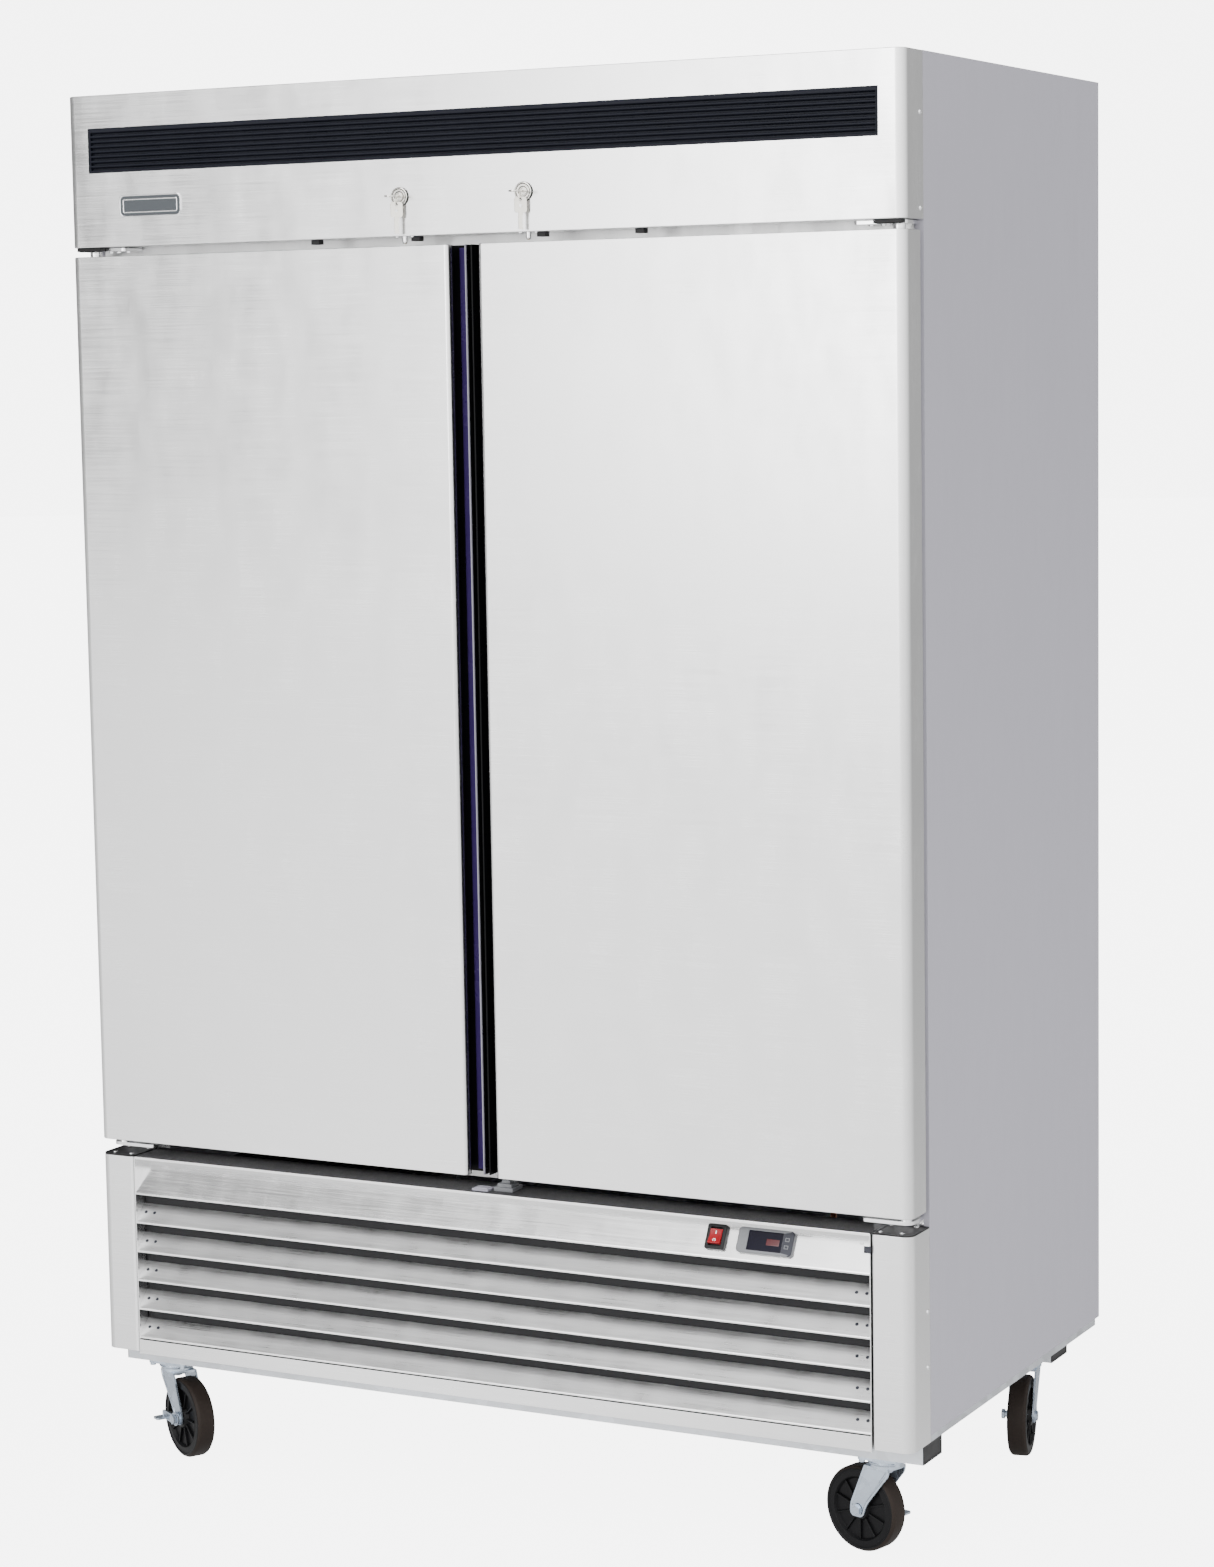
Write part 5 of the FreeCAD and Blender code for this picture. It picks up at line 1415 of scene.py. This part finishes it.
class FRIDGE_OT_controls(bpy.types.Operator):
    """Temperature controller with its display, and the lit rocker switch"""

    bl_idname = "fridge.controls"
    bl_label = "Controls"

    def execute(self, context):
        sizes = context.scene.fridge_fittings
        place = band_place(sizes, CONTROLLER_X)
        frame_piece = bezel("controller_bezel", 0.088, 0.038, 0.007, (0.0165, 0.0042), 0.003, 0.006)
        placed(frame_piece, place)

        # painted shade: the right end of the bezel takes the darker grey
        def shaded_end(centre, normal):
            local = place.inverted() @ centre
            return local.x > 0.034 and local.y < -0.003

        done(frame_piece, "cabinet", "control", "control_grey", ["controller_case"], ease=0.0004,
             inlays=[("control_dark", shaded_end)])
        slab(
            "controller_tub", (-0.0398, 0.0002, -0.0148), (0.0398, 0.030, 0.0148), "cabinet", "black",
            [Y, (0.003, 0), (0.0006, -0.001)], "control_grey", ["controller_case"], ease=0.001, place=place,
        )
        lens = block("controller_display", (-0.0273, -0.0058, -0.0146), (0.0273, -0.0040, 0.0146))
        long_edges(lens, 1)
        soften(0.0011, 4)
        pressed(lens, -Y, (0.0006, 0), (0.0003, 0.0003))
        done(lens, "cabinet", "lens", "control_grey", ease=0.0004, place=place)
        slab(
            "controller_lamp", (0.0020, -0.00630, -0.0052), (0.0225, -0.00605, 0.0042), "cabinet",
            "lamp_red", [-Y, (0.0006, 0), (0.0003, 0.0001)], "control_grey", ease=0.0001, place=place,
        )
        keys = []
        for i, x in enumerate((-0.0345, -0.0345, 0.0345, 0.0345)):
            z = 0.0055 * (1 if i % 2 else -1)
            button = block("key", (x - 0.0034, -0.0072, z - 0.0028), (x + 0.0034, -0.0050, z + 0.0028))
            pressed(button, -Y, (0.0009, 0), (0.0004, -0.0003))
            keys.append(button)
        whole = joined("controller_keys", keys)
        done(whole, "cabinet", "control", "control_grey", ease=0.0005, place=place)

        place = band_place(sizes, SWITCH_X)
        housing = bezel("switch_bezel", 0.031, 0.038, 0.007, (0.0054, 0.0049), 0.0069, 0.0034)
        placed(housing, place)
        tub = block("switch_tub", (-0.0114, 0.0098, -0.0148), (0.0114, 0.022, 0.0148))
        pressed(tub, Y, (0.002, 0), (0.0006, -0.001))
        placed(tub, place)
        whole = joined("switch_frame", [housing, tub])
        done(whole, "cabinet", "black", "control_grey", ["switch_housing"], ease=0.0004)

        half, height = 0.0095, 0.011
        outline = [
            (-half, -0.0076, height, 0.0010), (-half, -0.0076, 0.0005, 0.0008),
            (-half, -0.011, -height, 0.0010), (-half, -0.001, -height, 0.0006), (-half, 0.004, 0, 0.0010),
            (-half, -0.001, height),
        ]
        rocker = closed_section("rocker_cap", outline, X * 2 * half, 0)
        select(rocker, "FACE", lambda part: part.normal.y < -0.9 and part.calc_area() > 1e-4)
        bpy.ops.mesh.inset(thickness=0.0014, depth=-0.00035, use_individual=True)
        done(
            rocker, "switch_rocker", "rocker", "switch_red", ["switch_rocker"], ease=0.0005, segments=3,
            place=place,
        )
        bar = block("rocker_bar", (-0.0007, -0.0079, 0.0035), (0.0007, -0.0073, 0.0082))
        pressed(bar, -Y, (0.0003, 0.0001))
        loop = ring("rocker_loop", (0, -0.0095, -0.0062), Y, 0.0020, 0.00045, 32, 8)
        bpy.ops.object.mode_set(mode="EDIT")
        bpy.ops.mesh.select_all(action="SELECT")
        bpy.ops.transform.resize(value=(1, 0.5, 1), center_override=(0, -0.0095, -0.0062))
        whole = joined("rocker_marks", [bar, loop])
        done(whole, "switch_rocker", "mark", "switch_red", ease=0.00008, place=place)
        return {"FINISHED"}


# ---- casters ----
class CasterSettings(bpy.types.PropertyGroup):
    """The four casters."""

    wheel_radius: FloatProperty(
        name="Wheel radius", description="To the tread", unit="LENGTH", default=0.0635,
    )
    trail: FloatProperty(
        name="Trail", description="Level distance from the swivel to the axle", unit="LENGTH", default=0.040,
    )
    ribs: IntProperty(name="Web ribs", description="Ribs on each side of a wheel", min=3, default=10)


# name, swivel axis, direction in which the wheel trails in degrees, side of the brake lever
CASTERS = (
    ("front_left", (-0.616, -0.286), -30.0, "left"),
    ("front_right", (0.616, -0.286), 165.0, "right"),
    ("rear_left", (-0.612, 0.285), -62.0, None),
    ("rear_right", (0.612, 0.285), -78.0, None),
)


def caster_fork(sizes):
    """Crown, bridge, both legs and the axle bolt of one caster."""
    top, axle = 0.138, sizes.wheel_radius
    crown = rod("crown", (0, 0, top - 0.005), (0, 0, top), 0.025, 56)
    pressed(crown, Z, (0.0015, 0), (0.001, -0.0012), (0.006, 0), (0.001, 0.0012))
    bridge = block("bridge", (-0.018, -0.021, top - 0.008), (0.026, 0.021, top - 0.004))
    long_edges(bridge, 0, lambda place: place.z > top - 0.005)
    soften(0.0034, 5)
    king = rod("king_pin", (0, 0, top - 0.014), (0, 0, top - 0.006), 0.0085, 32)
    pressed(king, -Z, (0.0012, 0.0010), (0.002, 0), (0.0005, -0.0015))
    made = [crown, bridge, king]
    for y in (-0.021, 0.018):
        outline = [
            (-0.018, y, top - 0.0045, 0), (-0.018, y, top - 0.014, 0.006),
            (sizes.trail - 0.016, y, axle + 0.008, 0.010), (sizes.trail - 0.0115, y, axle - 0.010, 0.0068),
            (sizes.trail + 0.0115, y, axle - 0.010, 0.0068), (sizes.trail + 0.013, y, axle + 0.006, 0.008),
            (0.026, y, top - 0.0045, 0),
        ]
        leg = closed_section("leg", outline, Y * 0.003, 1)
        outer = -Y if y < 0 else Y
        pressed(leg, outer, (0.0028, 0), (0.0014, -0.0009))
        made.append(leg)
    bolt = rod("axle_bolt", (sizes.trail, -0.031, axle), (sizes.trail, 0.0245, axle), 0.005, 32)
    made.append(bolt)
    for near, far, sides in ((-0.0232, -0.0212, 40), (0.0212, 0.0222, 40)):
        washer = rod("washer", (sizes.trail, near, axle), (sizes.trail, far, axle), 0.0095, sides)
        made.append(washer)
    head = rod("bolt_head", (sizes.trail, -0.032, axle), (sizes.trail, -0.0270, axle), 0.008, 6)
    pressed(head, -Y, (0.0012, 0), (0.0005, -0.0005))
    nut = rod("nut", (sizes.trail, 0.0218, axle), (sizes.trail, 0.025, axle), 0.008, 6)
    pressed(nut, Y, (0.0014, 0), (0.0004, -0.0006))
    made += [head, nut]
    return joined("fork_pattern", made)


def caster_wheel(sizes):
    """A moulded wheel with a crowned tread, dished web and radial ribs."""
    radius, axle = sizes.wheel_radius, Vector((sizes.trail, 0, sizes.wheel_radius))
    wheel = rod("wheel", axle - Y * 0.0098, axle + Y * 0.0098, radius, 96)
    across(wheel, 1)
    steps(
        (0.0014, 0.0030), (0.0026, 0.0020), (0.0022, 0.0004), (0.0010, -0.0012), (0.0083, 0.0006),
        (0.0006, 0.0004), (0.0034, -0.0052), (0.0265, 0), (0.0025, 0.0062), (0.0014, 0.0005), (0.0035, 0),
        (0.0008, -0.0006),
    )
    made = [wheel]
    for side in (-1, 1):
        for i in range(sizes.ribs):
            rib = block(
                "rib", (0.016, side * 0.0115 - 0.0018, -0.0011), (0.0452, side * 0.0115 + 0.0018, 0.0011),
            )
            pressed(rib, Y * side, (0.0004, 0.0004))
            turn = Matrix.Rotation(2 * math.pi * (i + 0.5 * (side > 0)) / sizes.ribs, 4, "Y")
            placed(rib, Matrix.Translation(axle) @ turn)
            made.append(rib)
    return joined("wheel_pattern", made)


def brake_lever(sizes):
    """A pressed lever on the axle, with a folded foot tab."""
    axle = sizes.wheel_radius
    arm = block("arm", (-0.006, -0.0265, axle - 0.009), (sizes.trail, -0.0235, axle + 0.005))
    long_edges(arm, 1, lambda place: place.x < 0)
    soften(0.004, 5)
    pressed(arm, -Y, (0.0025, 0), (0.0008, -0.0008))
    hub = rod("hub", (sizes.trail, -0.0265, axle), (sizes.trail, -0.0235, axle), 0.011, 48)
    pressed(hub, -Y, (0.0018, 0), (0.0006, -0.0005))
    tab = block("tab", (-0.014, -0.040, axle - 0.009), (0.004, -0.0235, axle - 0.006))
    select(tab, "EDGE", upright_edge_at(-0.014, -0.040))
    soften(0.005, 5)
    select(tab, "EDGE", upright_edge_at(0.004, -0.040))
    soften(0.003, 4)
    pressed(tab, Z, (0.002, 0), (0.0006, -0.0005))
    return joined("brake_pattern", [arm, hub, tab])


def caster_plate():
    """A mounting plate with four bolts and the swivel's race."""
    pad = block("pad", (-0.034, -0.033, 0.147), (0.034, 0.033, 0.151))
    long_edges(pad, 2)
    soften(0.006, 5)
    race = rod("race", (0, 0, 0.1383), (0, 0, 0.147), 0.0288, 64)
    edges(race, lambda place: place.z < 0.1384)
    soften(0.0035, 5)
    sides_of(race, 2)
    steps((0.0009, -0.0007))
    seal = rod("seal", (0, 0, 0.13815), (0, 0, 0.1405), 0.0262, 64)
    pressed(seal, -Z, (0.002, 0), (0.0004, -0.0003))
    made = [pad, race, seal]
    for x in (-0.028, 0.028):
        for y in (-0.027, 0.027):
            head = rod("bolt", (x, y, 0.1428), (x, y, 0.1472), 0.0048, 6)
            pressed(head, -Z, (0.0009, 0), (0.0003, -0.0004))
            made.append(head)
    return joined("plate_pattern", made)


class FRIDGE_OT_casters(bpy.types.Operator):
    """Casters: plates, forks, wheels and the two brake levers"""

    bl_idname = "fridge.casters"
    bl_label = "Casters"

    def execute(self, context):
        sizes = context.scene.fridge_casters
        patterns = {
            "fork": caster_fork(sizes), "wheel": caster_wheel(sizes), "brake": brake_lever(sizes),
            "plate": caster_plate(),
        }
        axle = Vector((sizes.trail, 0, sizes.wheel_radius))
        for name, (x, y), turn, brake in CASTERS:
            place = Matrix.Translation((x, y, 0)) @ Matrix.Rotation(math.radians(turn), 4, "Z")
            upright = Matrix.Translation((x, y, 0))
            back = place.inverted()

            def tread(centre, normal):
                return (back @ centre - axle).length > 0.0608 and abs((back @ centre).y) < 0.0149

            def race_seal(centre, normal):
                local = upright.inverted() @ centre
                return local.z < 0.1407 and math.hypot(local.x, local.y) < 0.0268

            plate = copied(patterns["plate"], "caster_mount_" + name, upright)
            done(plate, "cabinet", "zinc", "zinc", ["caster_plates"], ease=0.0005,
                 inlays=[("black", race_seal)])
            fork = copied(patterns["fork"], "caster_yoke_" + name, place)
            done(fork, "caster_fork_" + name, "zinc", "zinc", ["caster_fork_" + name], ease=0.0005)
            wheel = copied(patterns["wheel"], "caster_tyre_" + name, place)
            done(wheel, "caster_wheel_" + name, "wheel", "wheel_tread", ["caster_wheel_" + name],
                 ease=0.0003, inlays=[("tread", tread)])
            if brake:
                lever = copied(patterns["brake"], "caster_brake_" + brake, place)
                done(lever, "brake_lever_" + brake, "zinc", "zinc", ["brake_lever_" + brake], ease=0.0005)
        for pattern in patterns.values():
            bpy.data.objects.remove(pattern)
        for end, (low, high) in zip(
            ("front", "rear"), sorted(solids("caster_channels"), key=lambda pair: pair[0].y),
        ):
            for name, side in SIDES:
                plug = side_block(
                    "channel_plug_%s_%s" % (end, name), side, (high.x - 0.006, low.y + 0.003, low.z + 0.003),
                    (high.x, high.y - 0.003, high.z - 0.003),
                )
                cap = side_block("cap", side, (high.x, low.y, low.z), (high.x + 0.0016, high.y, high.z))
                pressed(cap, X * side, (0.003, 0), (0.0008, -0.0006))
                whole = joined(plug.name, [plug, cap])
                done(whole, "cabinet", "black", "black_plastic", ease=0.0005)
        return {"FINISHED"}


# ---- inside the cabinet ----
class InsideSettings(bpy.types.PropertyGroup):
    """Shelves, lamps and the cooling module."""

    wires: IntProperty(
        name="Shelf wires", description="Wires from front to back in a shelf", min=4, default=21,
    )
    frame_wire: FloatProperty(
        name="Frame wire", description="Radius of a shelf's frame", unit="LENGTH", default=0.003,
    )
    wire: FloatProperty(name="Wire", description="Radius of a shelf's wires", unit="LENGTH", default=0.002)
    guard_rings: IntProperty(name="Guard rings", description="Rings of the fan guard", min=2, default=7)


class FRIDGE_OT_shelves(bpy.types.Operator):
    """The six wire shelves"""

    bl_idname = "fridge.shelves"
    bl_label = "Shelves"

    def execute(self, context):
        sizes = context.scene.fridge_inside
        levels = sorted({round(low.z, 3) for low, high in solids("wire_shelves")})
        low, high = [pair for pair in solids("wire_shelves") if pair[0].x > 0][0]
        base = Vector((low.x, low.y, levels[0]))
        width, depth = high.x - low.x, high.y - low.y
        radius, wire = sizes.frame_wire, sizes.wire

        def bar(start, end, thickness, sides=12):
            return rod("bar", base + Vector(start), base + Vector(end), thickness, sides)

        outline = []
        for start, end in (
            ((radius, radius, radius), (width - radius, radius, radius)),
            ((radius, depth - radius, radius), (width - radius, depth - radius, radius)),
            ((radius, radius, radius), (radius, depth - radius, radius)),
            ((width - radius, radius, radius), (width - radius, depth - radius, radius)),
            ((radius, depth / 2, radius), (width - radius, depth / 2, radius)),
        ):
            outline.append(bar(start, end, radius))
        pitch = (width - 2 * radius) / (sizes.wires + 1)
        for i in range(sizes.wires):
            x = radius + (i + 1) * pitch
            outline.append(
                bar(
                    (x, 0.0004, 2 * radius + wire - 0.001), (x, depth - 0.0004, 2 * radius + wire - 0.001),
                    wire, 10,
                ),
            )
        pattern = joined("shelf_pattern", outline)
        for i, level in enumerate(levels):
            for name, side in SIDES:
                place = Matrix.Translation(Z * (level - levels[0]))
                shelf = copied(pattern, "shelf_%s_%d" % (name, i + 1), place if side > 0 else place @ MIRROR)
                done(shelf, "cabinet", "shelf", "shelf_coat", ["wire_shelves"], ease=0.0005, segments=1)
        bpy.data.objects.remove(pattern)
        return {"FINISHED"}


class FRIDGE_OT_lamps(bpy.types.Operator):
    """Strip lamps and the fan guard under the cooling module"""

    bl_idname = "fridge.lamps"
    bl_label = "Lamps and fan guard"

    def execute(self, context):
        sizes = context.scene.fridge_inside
        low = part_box("evaporator_cover")[0].z
        for name, side in SIDES:
            slab(
                "lamp_tray_" + name, (0.185, -0.218, low - 0.006), (0.505, -0.182, low - 0.0003), "cabinet",
                "liner", [-Z, (0.003, 0), (0.0003, -0.0018)], "liner", side=side, ease=0.0008,
            )
            tube = side_block(
                "lamp_diffuser_" + name, side, (0.190, -0.212, low - 0.0125), (0.500, -0.188, low - 0.0042),
            )
            edges(tube, lambda place: place.z < low - 0.0124)
            soften(0.0055, 6)
            done(tube, "cabinet", "lamp", "liner", ease=0.0006)
        fan_low, fan_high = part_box("evaporator_fan")
        centre = (fan_low + fan_high) / 2
        level = low - 0.0022
        made = []
        reach = 0.124
        for i in range(sizes.guard_rings):
            radius = 0.022 + i * (reach - 0.022) / (sizes.guard_rings - 1)
            made.append(ring("hoop", (centre.x, centre.y, level), Z, radius, 0.0012, 72, 8))
        for i in range(4):
            turn = Matrix.Rotation(math.pi * (i + 0.5) / 4, 3, "Z")
            end = turn @ Vector((reach + 0.006, 0, 0))
            middle = Vector((centre.x, centre.y, level - 0.0018))
            made.append(rod("spoke", middle - end, middle + end, 0.0013, 8))
        guard = joined("evaporator_fan_guard", made)
        done(guard, "cabinet", "zinc", "zinc", ease=0.0001, segments=1)
        return {"FINISHED"}


# ---- the machine bay ----
class FRIDGE_OT_compressor(bpy.types.Operator):
    """Compressor with its feet, terminal box and pipes, and the condenser's return bends"""

    bl_idname = "fridge.compressor"
    bl_label = "Compressor"

    def execute(self, context):
        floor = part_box("compressor")[0].z
        cx, cy, radius = 0.300, 0.060, 0.086
        can = rod("can", (cx, cy, floor + 0.022), (cx, cy, floor + 0.198), radius, 72)
        edges(can, lambda place: abs(place.z - floor - 0.022) < NEAR or abs(place.z - floor - 0.198) < NEAR)
        soften(0.036, 10)
        for level in (0.128, 0.132, 0.136):
            cut(can, Z * (floor + level), Z)
        edges(can, lambda place: abs(place.z - floor - 0.132) < NEAR)
        bpy.ops.transform.resize(value=(1.014, 1.014, 1), center_override=(cx, cy, floor + 0.132))
        foot = block("foot", (cx - 0.11, cy - 0.075, floor + 0.016), (cx + 0.11, cy + 0.075, floor + 0.025))
        long_edges(foot, 2)
        soften(0.018, 6)
        pressed(foot, Z, (0.006, 0), (0.002, -0.002))
        cover = block(
            "terminal_box", (cx - 0.126, cy - 0.026, floor + 0.08), (cx - 0.079, cy + 0.026, floor + 0.14),
        )
        pressed(cover, -X, (0.004, 0), (0.001, -0.002))
        made = [can, foot, cover]
        for dx in (-0.095, 0.095):
            for dy in (-0.060, 0.060):
                spot = Vector((cx + dx, cy + dy, floor))
                mount = rod("mount", spot, spot + Z * 0.017, 0.012, 32)
                sides_of(mount, 2)
                steps((0.004, -0.0025))
                cap = rod("mount_bolt", spot + Z * 0.0248, spot + Z * 0.030, 0.007, 6)
                made += [mount, cap]
        whole = joined("compressor_body", made)
        done(whole, "cabinet", "compressor", "compressor_black", ["compressor"], ease=0.001)

        pipes = [
            pipe(
                "suction_pipe",
                [
                    (cx, cy + 0.080, 0.275), (cx, 0.200, 0.275), (cx, 0.240, 0.300), (cx, 0.250, 0.440),
                    (cx, 0.250, 0.498)
                ],
                0.005,
            ),
            pipe(
                "discharge_pipe",
                [
                    (cx - 0.070, cy + 0.05, 0.260), (0.180, 0.140, 0.256), (0.020, 0.120, 0.300),
                    (-0.100, -0.060, 0.420), (-0.138, -0.20, 0.424), (-0.139, -0.250, 0.422)
                ],
                0.004,
            ),
        ]
        whole = joined("refrigerant_pipes", pipes)
        done(whole, "cabinet", "copper", "coil", smooth=60)
        bends = []
        coil_low, coil_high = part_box("condenser_coil")
        for end in (coil_low.x, coil_high.x):
            for i in range(2):
                y = -0.250 + 0.022 * i
                for j in range(3):
                    z = 0.212 + 0.084 * j + (0.042 if end > -0.3 and j < 2 else 0)
                    sign = -1 if end < -0.3 else 1
                    inward = end - sign * 0.002
                    bend = half_ring("bend", (inward, y, z + 0.021), 0.021, 0.0048, sign)
                    bends.append(bend)
        whole = joined("condenser_bends", bends)
        done(whole, "cabinet", "copper", "coil", smooth=60)
        return {"FINISHED"}


def pipe(name, points, radius):
    """A round tube along a smooth line through points, closed at both ends."""
    fresh()
    bpy.ops.curve.primitive_nurbs_path_add()
    piece = bpy.context.object
    piece.name = name
    curve = piece.data
    curve.splines.clear()
    line = curve.splines.new("NURBS")
    line.points.add(len(points) - 1)
    for point, place in zip(line.points, points):
        point.co = (*place, 1.0)
    line.order_u = 3
    line.use_endpoint_u = True
    line.resolution_u = 8
    curve.bevel_depth = radius
    curve.bevel_resolution = 3
    curve.use_fill_caps = True
    bpy.ops.object.convert(target="MESH")
    return settled(name)


def half_ring(name, centre, radius, wire, sign):
    """Half a hoop in the XZ plane, bulging along X."""
    whole = ring(name, centre, Y, radius, wire, 48, 12)
    select(whole, "FACE", lambda face: sign * (face.calc_center_median().x - centre[0]) < 0)
    bpy.ops.mesh.delete(type="FACE")
    select(whole, "EDGE", lambda edge: edge.is_boundary)
    bpy.ops.mesh.edge_face_add()
    squeeze = Matrix.Diagonal((0.36, 1, 1, 1))
    squeeze = Matrix.Translation(centre) @ squeeze @ Matrix.Translation(-Vector(centre))
    fresh()
    placed(whole, squeeze)
    return whole


# ---- the add-on itself ----
SETTINGS = {
    "fridge_tones": ToneSettings, "fridge_stage": StageSettings, "fridge_front": FrontSettings,
    "fridge_fittings": FittingSettings, "fridge_casters": CasterSettings, "fridge_inside": InsideSettings,
}
STEPS = (
    FRIDGE_OT_finishes, FRIDGE_OT_stage, FRIDGE_OT_header, FRIDGE_OT_doors, FRIDGE_OT_posts,
    FRIDGE_OT_louvres, FRIDGE_OT_locks, FRIDGE_OT_hinges, FRIDGE_OT_controls, FRIDGE_OT_casters,
    FRIDGE_OT_shelves, FRIDGE_OT_lamps, FRIDGE_OT_compressor,
)


class FRIDGE_PT_pieces(bpy.types.Panel):
    """Lists the pieces of the refrigerator in the order they are made."""

    bl_idname = "FRIDGE_PT_pieces"
    bl_label = "Refrigerator"
    bl_space_type = "VIEW_3D"
    bl_region_type = "UI"
    bl_category = "Refrigerator"

    def draw(self, context):
        for step in STEPS:
            self.layout.operator(step.bl_idname)


def register():
    for name, group in SETTINGS.items():
        bpy.utils.register_class(group)
        setattr(bpy.types.Scene, name, PointerProperty(type=group))
    for step in (*STEPS, FRIDGE_PT_pieces):
        bpy.utils.register_class(step)


def unregister():
    for step in reversed((*STEPS, FRIDGE_PT_pieces)):
        bpy.utils.unregister_class(step)
    for name, group in SETTINGS.items():
        delattr(bpy.types.Scene, name)
        bpy.utils.unregister_class(group)


def main():
    register()
    for step in STEPS:
        group, name = step.bl_idname.split(".")
        getattr(getattr(bpy.ops, group), name)()
    fresh()


if __name__ == "__main__":
    main()
